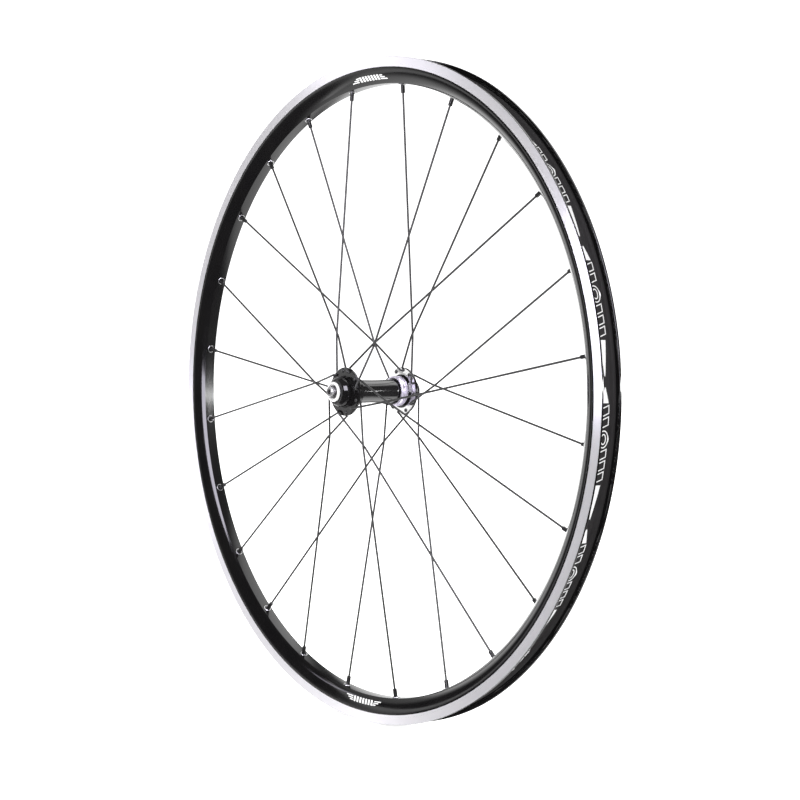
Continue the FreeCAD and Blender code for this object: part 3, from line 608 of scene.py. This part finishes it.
def add_nipple(shape, index, sides=NIPPLE_SIDES):
    """One nipple: a round head in the eyelet, a round neck and a square end for the spoke key."""
    corners = spoke_corners(index)
    outward = (corners[-1] - corners[-2]).normalized()
    across = Vector((0, 1, 0)).cross(outward).normalized()
    along = outward.cross(across)
    foot = -NIPPLE_FOOT
    flats_end = foot + NIPPLE_FLAT_LENGTH
    square = NIPPLE_FLAT_HALF_WIDTH
    shoulder_width, shoulder_height = NIPPLE_SHOULDER
    neck = math.sqrt(NIPPLE_HEAD_RADIUS ** 2 - NIPPLE_BODY_RADIUS ** 2)
    bowl_middle = math.sqrt(NIPPLE_HEAD_RADIUS ** 2 - NIPPLE_BOWL_MIDDLE ** 2)
    bowl = arc((-neck, NIPPLE_BODY_RADIUS), (-NIPPLE_BOWL_MIDDLE, bowl_middle),
               (0, NIPPLE_HEAD_RADIUS), NIPPLE_BOWL_STEPS)
    stations = [
        (foot + NIPPLE_BORE_DEPTH, NIPPLE_BORE, None),
        (foot, NIPPLE_BORE, None),
        (foot, NIPPLE_BODY_RADIUS - NIPPLE_FOOT_EDGE, square - NIPPLE_CORNER_EDGE),
        (foot + NIPPLE_EDGE_HEIGHT, NIPPLE_BODY_RADIUS, square),
        (flats_end - NIPPLE_EDGE_HEIGHT, NIPPLE_BODY_RADIUS, square),
        (flats_end, NIPPLE_BODY_RADIUS, square + shoulder_width),
        (flats_end + shoulder_height, NIPPLE_BODY_RADIUS, None),
        *[(height, radius, None) for height, radius in bowl],
        (0, NIPPLE_HEAD_RADIUS, None),
        (NIPPLE_RIM_HEIGHT, NIPPLE_HEAD_RADIUS, None),
        (NIPPLE_TOP_HEIGHT, NIPPLE_TOP_RADIUS, None),
        (NIPPLE_TOP_HEIGHT, NIPPLE_SLOT_RADIUS, None),
    ]
    rings = []
    for height, radius, half_width in stations:
        ring = []
        for side in range(sides):
            turn = math.tau * (side + 0.5) / sides
            reach = radius
            if half_width is not None:
                reach = min(radius, half_width / max(abs(math.cos(turn)), abs(math.sin(turn))))
            spread = along * math.cos(turn) + across * math.sin(turn)
            ring.append(corners[-1] + outward * height + spread * reach)
        rings.append(ring)
    shape.add_rings(rings, capped=True)


def make_nipples(metal):
    """All the nipples."""
    shape = Shape()
    for index in range(SPOKE_COUNT):
        add_nipple(shape, index)
    finish_piece("nipple_set", shape.mesh("nipples"), [metal], "wheel", ["nipples"])


# Printed marks: thin raised patches that follow the surface under them.


def add_band(shape, surface, first, second, lift, rows=1, closed=False):
    """A thin patch between two lines of (along, across) points, lifted off the surface."""
    rings = []
    for one, other in zip(first, second):
        line = [Vector(one).lerp(Vector(other), row / rows) for row in range(rows + 1)]
        face = [surface(*point, lift) for point in line]
        back = [surface(*point, 0) for point in reversed(line)]
        rings.append(face + back)
    shape.add_rings(rings, closed_along=closed, capped=not closed)


def divided(start, end, step=PRINT_STEP):
    """Points from one (along, across) place towards another, at most a step apart."""
    length = math.hypot(end[0] - start[0], end[1] - start[1])
    count = max(1, math.ceil(length / step))
    return [
        (start[0] + (end[0] - start[0]) * number / count, start[1] + (end[1] - start[1]) * number / count)
        for number in range(count)
    ]


def slanted_box(along, length, low, high, slant):
    """The corners of a bar that leans along by the slant for each unit across."""
    return [
        (along + slant * low, low),
        (along + slant * high, high),
        (along + slant * high + length, high),
        (along + slant * low + length, low),
    ]


def add_filled_bar(shape, surface, along, length, low, high, slant, lift):
    """A filled slanted bar."""
    corners = slanted_box(along, length, low, high, slant)
    bottom = divided(corners[0], corners[3]) + [corners[3]]
    top = divided(corners[1], corners[2]) + [corners[2]]
    add_band(shape, surface, bottom, top, lift, rows=math.ceil(high - low))


def add_outlined_bar(shape, surface, along, length, low, high, slant, line, lift):
    """The outline of a slanted bar, drawn with a line of the given width."""
    outer = slanted_box(along, length, low, high, slant)
    inner = slanted_box(along + line, length - 2 * line, low + line, high - line, slant)
    outer_line, inner_line = [], []
    for index in range(4):
        following = (index + 1) % 4
        count = max(1, math.ceil(math.dist(outer[index], outer[following]) / PRINT_STEP))
        for number in range(count):
            share = number / count
            for line_points, box in ((outer_line, outer), (inner_line, inner)):
                start, end = Vector(box[index]), Vector(box[following])
                line_points.append(tuple(start.lerp(end, share)))
    add_band(shape, surface, outer_line, inner_line, lift, closed=True)


def add_ring(shape, surface, along, half_length, half_height, line, lift, steps=36):
    """An oval ring drawn with a line of the given width."""
    outer, inner = [], []
    for step in range(steps):
        turn = math.tau * step / steps
        outer.append((along + half_length * math.cos(turn), half_height * math.sin(turn)))
        inner_reach = (half_length - line) * math.cos(turn)
        inner.append((along + inner_reach, (half_height - line) * math.sin(turn)))
    add_band(shape, surface, outer, inner, lift, closed=True)


def add_tapered_bar(shape, surface, along, length, tip, root, lift):
    """A bar that widens from its tip's half height to its root's."""
    count = max(2, math.ceil(abs(length) / PRINT_STEP))
    low, high = [], []
    for number in range(count + 1):
        share = number / count
        half = tip + (root - tip) * share
        low.append((along + length * share, -half))
        high.append((along + length * share, half))
    add_band(shape, surface, low, high, lift)


def tape_surface(along, across, lift):
    """A place on the tape, from millimetres along its well and across it."""
    angle = math.degrees(along / (WELL_RADIUS + TAPE_THICKNESS))
    return around(tape_radius(across) + lift, angle, across)


def add_tape_bars(shape, start, count):
    """A row of outlined bars that lean the same way."""
    pitch = 9.5
    length = 7.5
    half_height = 5.0
    slant = 0.35
    for number in range(count):
        size = (start + pitch * number, length, -half_height, half_height, slant)
        add_outlined_bar(shape, tape_surface, *size, TAPE_LINE, TAPE_LIFT)


def add_tape_motif(shape, start):
    """One repeat of the tape's plain pattern: tapered bars, slanted outlined bars and an oval."""
    first_bars = start + 33
    oval = start + 69
    last_bars = start + 79
    end = start + 112
    tip = 0.5
    long_taper, long_root = 30, 3.6
    short_taper, short_root = 13, 4.2
    add_tapered_bar(shape, tape_surface, start, long_taper, tip, long_root, TAPE_LIFT)
    add_tape_bars(shape, first_bars, 3)
    for half_length, half_height in ((7.5, 5.6), (4.6, 3.0)):
        add_ring(shape, tape_surface, oval, half_length, half_height, TAPE_LINE, TAPE_LIFT)
    add_tape_bars(shape, last_bars, 2)
    add_tapered_bar(shape, tape_surface, end, -short_taper, tip, short_root, TAPE_LIFT)


def make_tape_print(ink):
    """The pale pattern that repeats round the tape."""
    shape = Shape()
    pitch = math.tau * (WELL_RADIUS + TAPE_THICKNESS) / TAPE_REPEATS
    first = pitch * TAPE_FIRST_REPEAT
    for number in range(TAPE_REPEATS):
        add_tape_motif(shape, first + pitch * number)
    finish_piece("tape_print", shape.mesh("tape_print"), [ink], "wheel")


def wall_surface(middle_angle, side):
    """A function that gives places on a side wall, along it and up from its middle."""
    section = wall_points(WALL_FINE_STEPS)

    def place(along, up, lift):
        reach = (MARK_HEIGHT_SHARE - up / WALL_LENGTH) * len(section)
        number = min(len(section) - 2, max(0, int(reach)))
        (radius, across), (next_radius, next_across) = section[number], section[number + 1]
        slope = math.atan2(across - next_across, radius - next_radius)
        part = reach - number
        radius += (next_radius - radius) * part - lift * math.sin(slope)
        across += (next_across - across) * part + lift * math.cos(slope)
        return around(radius, middle_angle - side * math.degrees(along / radius), across * side)

    return place


def add_wall_mark(shape, surface):
    """One plain mark: a row of slanted bars between two sets of strokes that taper away."""
    lift = 0.05
    bar_pitch = 4.4
    bar_length = 2.8
    bar_half_height = 2.5
    slant = 0.3
    stroke_start = 16.0
    stroke_length = 4.6
    stroke_growth = 2.8
    stroke_half_height = 0.5
    stroke_pitch = 1.7
    for number in range(-3, 4):
        along = bar_pitch * number - bar_length / 2
        add_filled_bar(shape, surface, along, bar_length, -bar_half_height, bar_half_height, slant, lift)
    for end in (-1, 1):
        for row in (-1, 0, 1):
            low = stroke_pitch * row - stroke_half_height
            high = stroke_pitch * row + stroke_half_height
            length = stroke_length + stroke_growth * (1 - row)
            along = stroke_start if end == 1 else -stroke_start - length
            add_filled_bar(shape, surface, along, length, low, high, -slant * end, lift)


def make_wall_marks(ink):
    """Two plain marks on each side wall."""
    shape = Shape()
    for side in (RIGHT, LEFT):
        for middle_angle in MARK_ANGLES:
            add_wall_mark(shape, wall_surface(middle_angle, side))
    finish_piece("wall_marks", shape.mesh("wall_marks"), [ink], "wheel")


# Shaders.


class Nodes:
    """A node tree with short ways to add and join nodes."""

    def __init__(self, tree):
        self.tree = tree

    def add(self, kind, inputs=None, **settings):
        """A new node with its settings, and its inputs set or joined."""
        node = self.tree.nodes.new(kind)
        for field, value in settings.items():
            setattr(node, field, value)
        for field, value in (inputs or {}).items():
            self.feed(node, field, value)
        return node

    def feed(self, node, field, value):
        """Join a socket to an input, or set the input's own value."""
        if isinstance(value, bpy.types.NodeSocket):
            self.tree.links.new(value, node.inputs[field])
        else:
            node.inputs[field].default_value = value

    def place(self):
        """The place on the object, in metres."""
        return self.add("ShaderNodeTexCoord").outputs["Object"]

    def scaled(self, vector, factors):
        """A vector times a factor along each axis."""
        return self.add("ShaderNodeVectorMath", {0: vector, 1: factors}, operation="MULTIPLY").outputs[0]

    def math(self, operation, first, second=0.0, third=0.0):
        """The result of a sum on one, two or three values."""
        return self.add("ShaderNodeMath", {0: first, 1: second, 2: third}, operation=operation).outputs[0]

    def noise(self, vector, scale, detail=3.0):
        """Cloudy noise from 0 to 1."""
        inputs = {"Vector": vector, "Scale": scale, "Detail": detail}
        return self.add("ShaderNodeTexNoise", inputs).outputs["Fac"]

    def remap(self, value, low, high, new_low, new_high, smooth=False):
        """A value moved from one range to another, and held inside it."""
        inputs = {"Value": value, "From Min": low, "From Max": high, "To Min": new_low, "To Max": new_high}
        kind = "SMOOTHSTEP" if smooth else "LINEAR"
        return self.add("ShaderNodeMapRange", inputs, interpolation_type=kind).outputs[0]

    def mix(self, factor, first, second):
        """A colour between two others."""
        return self.add("ShaderNodeMix", {0: factor, 6: first, 7: second}, data_type="RGBA").outputs[2]

    def bump(self, height, distance, strength=1.0):
        """A normal bent by a height, whose full range is the distance in metres."""
        inputs = {"Height": height, "Distance": distance, "Strength": strength}
        return self.add("ShaderNodeBump", inputs).outputs["Normal"]

    def axle_radius(self, place):
        """The distance from the axle's line, in metres."""
        flat = self.scaled(place, (1, 0, 1))
        return self.add("ShaderNodeVectorMath", {0: flat}, operation="LENGTH").outputs["Value"]


def new_material(name, **values):
    """A material, its nodes and its surface shader with plain values set on it."""
    material = bpy.data.materials.new(name)
    material.use_nodes = True
    surface = material.node_tree.nodes["Principled BSDF"]
    for field, value in values.items():
        surface.inputs[field.replace("_", " ")].default_value = value
    return material, Nodes(material.node_tree), surface


def shade(value, tint=NEUTRAL):
    """A grey of that value with a tint, as a colour."""
    return (value * tint[0], value * tint[1], value * tint[2], 1.0)


def black_rim_alloy():
    """Gloss black anodised extrusion, satin on the spoke side, with faint lines along the section."""
    material, nodes, surface = new_material("black_rim_alloy", IOR=1.42)
    place = nodes.place()
    cloud = nodes.noise(place, 30.0)
    radius = nodes.axle_radius(place)
    across = nodes.add("ShaderNodeSeparateXYZ", {0: place}).outputs[1]
    section = nodes.add("ShaderNodeCombineXYZ", {0: radius, 1: across}).outputs[0]
    lines = nodes.noise(section, 2200.0, 2.0)
    nodes.feed(surface, "Base Color", nodes.mix(cloud, shade(0.0025, VIOLET), shade(0.005, WARM)))
    polish = nodes.math("MULTIPLY_ADD", lines, 0.03, nodes.remap(cloud, 0.3, 0.7, 0.07, 0.1))
    corner = WALL_CORNER[0]
    satin = nodes.remap(radius, (corner - 0.2) * MM, (corner + 0.2) * MM, 0.09, 0.0)
    nodes.feed(surface, "Roughness", nodes.math("ADD", polish, satin))
    return material


def turned_track():
    """The brake track: silver aluminium turned in fine rings."""
    material, nodes, surface = new_material("turned_track", Metallic=0.74, Anisotropic=1.0)
    surface.inputs["Anisotropic Rotation"].default_value = 0.25
    place = nodes.place()
    radius = nodes.axle_radius(place)
    rings = nodes.noise(nodes.add("ShaderNodeCombineXYZ", {0: radius}).outputs[0], 3200.0, 2.0)
    cloud = nodes.noise(place, 14.0)
    silver = nodes.mix(cloud, shade(0.84, PALE_VIOLET), shade(0.89, PALE_VIOLET))
    lined = nodes.mix(nodes.remap(rings, 0.35, 0.65, 0.0, 0.12), silver, shade(0.7))
    nodes.feed(surface, "Base Color", lined)
    nodes.feed(surface, "Roughness", nodes.remap(rings, 0.3, 0.7, 0.27, 0.3))
    nodes.feed(surface, "Normal", nodes.bump(rings, 0.000002, 0.3))
    tangent = nodes.add("ShaderNodeTangent", direction_type="RADIAL", axis="Y").outputs[0]
    nodes.feed(surface, "Tangent", tangent)
    return material


def plain_alloy():
    """Bare extruded aluminium inside the rim."""
    material, nodes, surface = new_material("plain_alloy", Metallic=1.0)
    cloud = nodes.noise(nodes.place(), 120.0)
    nodes.feed(surface, "Base Color", nodes.mix(cloud, shade(0.5), shade(0.62)))
    nodes.feed(surface, "Roughness", nodes.remap(cloud, 0.3, 0.7, 0.4, 0.55))
    return material


def woven_tape():
    """Black nylon tape: two sets of threads that cross, with a little fuzz."""
    material, nodes, surface = new_material("woven_tape", IOR=1.2)
    surface.inputs["Sheen Weight"].default_value = 0.05
    place = nodes.place()
    x, y, z = nodes.add("ShaderNodeSeparateXYZ", {0: place}).outputs
    angle = nodes.math("ARCTAN2", z, x)
    along = nodes.math("MULTIPLY", angle, (WELL_RADIUS + TAPE_THICKNESS) * MM)
    warp = nodes.math("SINE", nodes.math("MULTIPLY", y, math.tau / (WARP_PITCH * MM)))
    weft = nodes.math("SINE", nodes.math("MULTIPLY", along, math.tau / (WEFT_PITCH * MM)))
    weave = nodes.math("MULTIPLY", warp, weft)
    height = nodes.remap(weave, -1.0, 1.0, 0.0, 1.0)
    cloud = nodes.noise(place, 60.0)
    dark = nodes.mix(height, shade(0.01, WARM), shade(0.018, WARM))
    nodes.feed(surface, "Base Color", nodes.mix(cloud, dark, shade(0.02, WARM)))
    nodes.feed(surface, "Roughness", nodes.remap(cloud, 0.3, 0.7, 0.5, 0.68))
    nodes.feed(surface, "Normal", nodes.bump(height, 0.00008, 0.7))
    return material


def pale_ink(name, bright):
    """A printed ink with slightly uneven cover."""
    material, nodes, surface = new_material(name, IOR=1.5)
    cloud = nodes.noise(nodes.place(), 900.0, 2.0)
    cover = nodes.remap(cloud, 0.3, 0.55, 0.0, 1.0)
    nodes.feed(surface, "Base Color", nodes.mix(cover, shade(bright * 0.82), shade(bright)))
    nodes.feed(surface, "Roughness", nodes.remap(cloud, 0.3, 0.7, 0.35, 0.5))
    nodes.feed(surface, "Normal", nodes.bump(cloud, 0.00001, 0.4))
    return material


def plated_metal():
    """Bright plating, slightly cloudy."""
    material, nodes, surface = new_material("plated_metal", Metallic=1.0)
    cloud = nodes.noise(nodes.place(), 700.0)
    nodes.feed(surface, "Base Color", nodes.mix(cloud, shade(0.5), shade(0.62)))
    nodes.feed(surface, "Roughness", nodes.remap(cloud, 0.3, 0.7, 0.25, 0.35))
    return material


def black_wire():
    """Black-finished stainless wire, drawn smooth, with a hint of bare steel."""
    material, nodes, surface = new_material("black_wire", IOR=1.35)
    place = nodes.place()
    cloud = nodes.noise(place, 160.0)
    fine = nodes.noise(place, 1200.0, 2.0)
    nodes.feed(surface, "Base Color", nodes.mix(cloud, shade(0.03), shade(0.036)))
    nodes.feed(surface, "Roughness", nodes.remap(fine, 0.3, 0.7, 0.42, 0.48))
    return material


def black_nipple_alloy():
    """Black anodised nipple, slightly duller than the rim."""
    material, nodes, surface = new_material("black_nipple_alloy", IOR=1.4)
    cloud = nodes.noise(nodes.place(), 900.0)
    nodes.feed(surface, "Base Color", nodes.mix(cloud, shade(0.004), shade(0.01)))
    nodes.feed(surface, "Roughness", nodes.remap(cloud, 0.3, 0.7, 0.32, 0.4))
    return material


def turned_lines(nodes, place, scale):
    """Fine lines left by the lathe, which change along the axle and out from it."""
    across = nodes.add("ShaderNodeSeparateXYZ", {0: place}).outputs[1]
    section = nodes.add("ShaderNodeCombineXYZ", {0: nodes.axle_radius(place), 1: across}).outputs[0]
    return nodes.noise(section, scale, 3.0)


def black_hub_alloy():
    """Turned and gloss black anodised aluminium, with faint lathe lines."""
    material, nodes, surface = new_material("black_hub_alloy", IOR=1.65)
    lines = turned_lines(nodes, nodes.place(), 700.0)
    nodes.feed(surface, "Base Color", nodes.mix(lines, shade(0.003, VIOLET), shade(0.007, WARM)))
    nodes.feed(surface, "Roughness", nodes.remap(lines, 0.3, 0.7, 0.05, 0.08))
    return material


def flange_alloy():
    """The hub shell's black finish, with the flanges' inner faces machined bright after it."""
    material, nodes, surface = new_material("flange_alloy", IOR=1.42)
    place = nodes.place()
    lines = turned_lines(nodes, place, 700.0)
    across = nodes.math("ABSOLUTE", nodes.add("ShaderNodeSeparateXYZ", {0: place}).outputs[1])
    on_face = nodes.remap(across, (FLANGE_INNER + 0.05) * MM, (FLANGE_INNER + 0.15) * MM, 1.0, 0.0)
    radius = nodes.axle_radius(place)
    past_neck = nodes.remap(radius, (FLANGE_NECK - 0.1) * MM, (FLANGE_NECK + 0.1) * MM, 0.0, 1.0)
    bright = nodes.math("MULTIPLY", on_face, past_neck)
    black = nodes.mix(lines, shade(0.003, VIOLET), shade(0.007, WARM))
    silver = nodes.mix(lines, shade(0.72), shade(0.78))
    nodes.feed(surface, "Base Color", nodes.mix(bright, black, silver))
    nodes.feed(surface, "Metallic", bright)
    nodes.feed(surface, "Roughness", nodes.remap(lines, 0.3, 0.7, 0.09, 0.11))
    return material


def polished_collar():
    """Bright polished aluminium."""
    material, nodes, surface = new_material("polished_collar", Metallic=0.7)
    lines = turned_lines(nodes, nodes.place(), 900.0)
    nodes.feed(surface, "Base Color", nodes.mix(lines, shade(0.84, VIOLET), shade(0.92, VIOLET)))
    nodes.feed(surface, "Roughness", nodes.remap(lines, 0.3, 0.7, 0.24, 0.3))
    return material


def turned_cap():
    """The silver end caps, faced on a lathe, with painted shade: a dark, less metallic ring in the recess
    round the axle's end.
    """
    material, nodes, surface = new_material("turned_cap", IOR=1.6)
    place = nodes.place()
    lines = turned_lines(nodes, place, 1500.0)
    # Painted shade: inside this radius the cap is dark and not metallic, standing in for the shade in the
    # recess round the axle's end.
    painted_recess_shade = nodes.remap(nodes.axle_radius(place), CAP_RECESS_SHADE_RADIUS * MM, (CAP_RECESS_SHADE_RADIUS + 0.1) * MM, 1.0, 0.0)
    silver = nodes.mix(lines, shade(0.82), shade(0.9))
    nodes.feed(surface, "Base Color", nodes.mix(painted_recess_shade, silver, shade(0.02, WARM)))
    nodes.feed(surface, "Metallic", nodes.math("MULTIPLY_ADD", painted_recess_shade, -0.35, 0.35))
    nodes.feed(surface, "Roughness", nodes.remap(lines, 0.3, 0.7, 0.26, 0.32))
    return material


def axle_alloy():
    """The axle's duller turned aluminium."""
    material, nodes, surface = new_material("axle_alloy", Metallic=1.0)
    lines = turned_lines(nodes, nodes.place(), 2200.0)
    nodes.feed(surface, "Base Color", nodes.mix(lines, shade(0.5), shade(0.7)))
    nodes.feed(surface, "Roughness", nodes.remap(lines, 0.3, 0.7, 0.25, 0.4))
    return material


def bearing_steel():
    """Ground bearing steel."""
    material, nodes, surface = new_material("bearing_steel", Metallic=1.0)
    cloud = nodes.noise(nodes.place(), 1500.0)
    nodes.feed(surface, "Base Color", nodes.mix(cloud, shade(0.55), shade(0.66)))
    nodes.feed(surface, "Roughness", nodes.remap(cloud, 0.3, 0.7, 0.12, 0.22))
    return material


def seal_rubber():
    """Black moulded rubber."""
    material, nodes, surface = new_material("seal_rubber", IOR=1.5)
    cloud = nodes.noise(nodes.place(), 2500.0)
    nodes.feed(surface, "Base Color", nodes.mix(cloud, shade(0.012), shade(0.025)))
    nodes.feed(surface, "Roughness", nodes.remap(cloud, 0.3, 0.7, 0.5, 0.7))
    nodes.feed(surface, "Normal", nodes.bump(cloud, 0.00002, 0.5))
    return material


def cage_nylon():
    """Moulded natural nylon."""
    material, nodes, surface = new_material("cage_nylon", IOR=1.5)
    cloud = nodes.noise(nodes.place(), 1200.0)
    nodes.feed(surface, "Base Color", nodes.mix(cloud, shade(0.5, NYLON_DARK), shade(0.62, NYLON_PALE)))
    nodes.feed(surface, "Roughness", nodes.remap(cloud, 0.3, 0.7, 0.4, 0.55))
    return material


def dress(node, material):
    """Give a CAD node its material."""
    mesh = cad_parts[node].data
    mesh.materials.clear()
    mesh.materials.append(material)


def dress_hub():
    """Materials for the sub-parts that keep their CAD shape."""
    hub_black = black_hub_alloy()
    flange = flange_alloy()
    collar = polished_collar()
    cap = turned_cap()
    steel = bearing_steel()
    rubber = seal_rubber()
    nylon = cage_nylon()
    dress("hub_barrel", hub_black)
    dress("axle", axle_alloy())
    dress("rim_joint_sleeve", plain_alloy())
    for side in SIDE_NAMES:
        dress(f"{side}_hub_flange", flange)
        dress(f"{side}_collar_ring", collar if side == "left" else hub_black)
        dress(f"{side}_dust_cover", rubber)
        dress(f"{side}_inner_race", steel)
        dress(f"{side}_outer_race", steel)
        dress(f"{side}_bearing_shield", rubber)
        dress(f"{side}_balls", steel)
        dress(f"{side}_ball_cage", nylon)
        dress(f"{side}_end_cap", cap)


# Studio.


def make_world():
    """White surroundings for the camera and for soft light, with a dim studio for reflections."""
    world = bpy.data.worlds.new("studio")
    bpy.context.scene.world = world
    world.use_nodes = True
    nodes = Nodes(world.node_tree)
    background = world.node_tree.nodes["Background"]
    background.inputs["Color"].default_value = shade(1.0)
    ray = nodes.add("ShaderNodeLightPath").outputs["Is Glossy Ray"]
    heading = nodes.add("ShaderNodeTexCoord").outputs["Generated"]
    # Each glow: its heading, the closeness to it where the glow starts and is full, and its strength.
    glows = [
        ((-0.788, 0.615, 0.0), 0.84, 0.95, 1.6),
        ((0.0, 0.62, 0.78), 0.84, 0.96, 2.6),
        ((0.0, 0.62, -0.78), 0.8, 0.95, 2.2),
        ((0.79, 0.61, 0.0), 0.7, 0.95, 0.15),
        ((0.0, 0.0, 1.0), 0.6, 0.9, 0.2),
        ((-0.99, 0.1, 0.0), 0.88, 0.96, 2.0),
        ((-0.8, 0.0, -0.6), 0.74, 0.93, 1.45),
        ((-0.8, 0.0, 0.6), 0.86, 0.95, 0.6),
    ]
    light = DIM_LIGHT
    for direction, edge, core, strength in glows:
        facing = nodes.add("ShaderNodeVectorMath", {0: heading, 1: direction}, operation="DOT_PRODUCT")
        glow = nodes.remap(facing.outputs["Value"], edge, core, 0.0, strength, smooth=True)
        light = nodes.math("ADD", light, glow)
    strength = nodes.math("MULTIPLY_ADD", ray, nodes.math("SUBTRACT", light, ROOM_LIGHT), ROOM_LIGHT)
    nodes.feed(background, "Strength", strength)


def add_softbox(name, place, target, width, height, brightness, colour):
    """A rectangular softbox that faces its target, seen only in glossy surfaces."""
    light = bpy.data.lights.new(name, "AREA")
    light.shape = "RECTANGLE"
    light.size = width
    light.size_y = height
    light.energy = SOFTBOX_POWER * width * height * brightness
    light.color = colour
    lamp = add_object(name, light)
    lamp.location = place
    lamp.rotation_mode = "QUATERNION"
    lamp.rotation_quaternion = (Vector(target) - Vector(place)).to_track_quat("-Z", "Y")
    lamp.visible_camera = False
    lamp.visible_diffuse = False
    return lamp


def light_only(lamp, name, pieces):
    """Let the lamp light nothing but these pieces."""
    group = bpy.data.collections.new(name)
    for piece in pieces:
        group.objects.link(piece)
    lamp.light_linking.receiver_collection = group


def make_lights(rim):
    """A strip for the turned faces, boxes for the walls' streaks, a high box and two back lights.

    Places and sizes are in metres.
    """
    centre = (0, 0, 0)
    front = (-0.1, 0, 0.1)
    low_left = (-0.05, 0, -0.3)
    left = (-0.29, 0, 0)
    add_softbox("strip_box", (-1.187, -0.908, 0), centre, 0.1, 1.7, 1.25, WHITE_LIGHT)
    add_softbox("tall_box", (0.42, -1.6, 0.4), front, 0.8, 1.05, 14.0, LILAC_LIGHT)
    add_softbox("tall_box_top", (0.42, -1.35, 1.35), front, 0.7, 0.8, 2.5, LILAC_LIGHT)
    add_softbox("streak_box", (-1.35, -1.05, 0.72), low_left, 0.45, 0.14, 3.0, LILAC_LIGHT)
    add_softbox("high_box", (1.65, -0.3, 0.85), centre, 1.1, 1.2, 14.0, LILAC_LIGHT)
    add_softbox("back_lamp", (0.93, 0.754, 0.06), centre, 0.03, 0.22, 15.0, WHITE_LIGHT)
    crown_box = add_softbox("crown_box", (0.95, 0.73, 0.03), left, 1.2, 0.05, 34.0, WHITE_LIGHT)
    light_only(crown_box, "crown_box_pieces", [rim])


def make_floor():
    """A plain pale floor under the wheel."""
    half = FLOOR_HALF_SIZE
    corners = [(-half, -half, 0), (half, -half, 0), (half, half, 0), (-half, half, 0)]
    mesh = bpy.data.meshes.new("floor")
    mesh.from_pydata(corners, [], [[0, 1, 2, 3]])
    floor = add_object("floor", mesh)
    floor.location.z = cad_low.z
    material, nodes, surface = new_material("pale_floor", IOR=1.3)
    cloud = nodes.noise(nodes.place(), 3.0)
    nodes.feed(surface, "Base Color", nodes.mix(cloud, shade(0.83), shade(0.85)))
    surface.inputs["Roughness"].default_value = 1.0
    surface.inputs["Emission Color"].default_value = shade(1.0)
    surface.inputs["Emission Strength"].default_value = FLOOR_GLOW
    mesh.materials.append(material)
    floor.visible_glossy = False
    floor.visible_shadow = False


def make_camera():
    """The camera, ahead of the wheel and to its right, level with the axle."""
    data = bpy.data.cameras.new("camera")
    data.lens = CAMERA_LENS
    camera = add_object("camera", data)
    camera.location = CAMERA_PLACE
    camera.rotation_mode = "QUATERNION"
    camera.rotation_quaternion = (CAMERA_TARGET - CAMERA_PLACE).to_track_quat("-Z", "Y")
    bpy.context.scene.camera = camera


rim_shell = make_rim(black_rim_alloy(), turned_track(), plain_alloy())
make_tape(woven_tape())
make_tape_print(pale_ink("tape_ink", 0.75))
make_wall_marks(pale_ink("wall_ink", 0.8))
make_eyelets(plated_metal())
make_nipples(black_nipple_alloy())
spoke_steel = black_wire()
for spoke in range(SPOKE_COUNT):
    make_spoke(spoke, spoke_steel)
dress_hub()
make_world()
make_lights(rim_shell)
make_floor()
make_camera()
bpy.context.scene.view_settings.view_transform = "Standard"
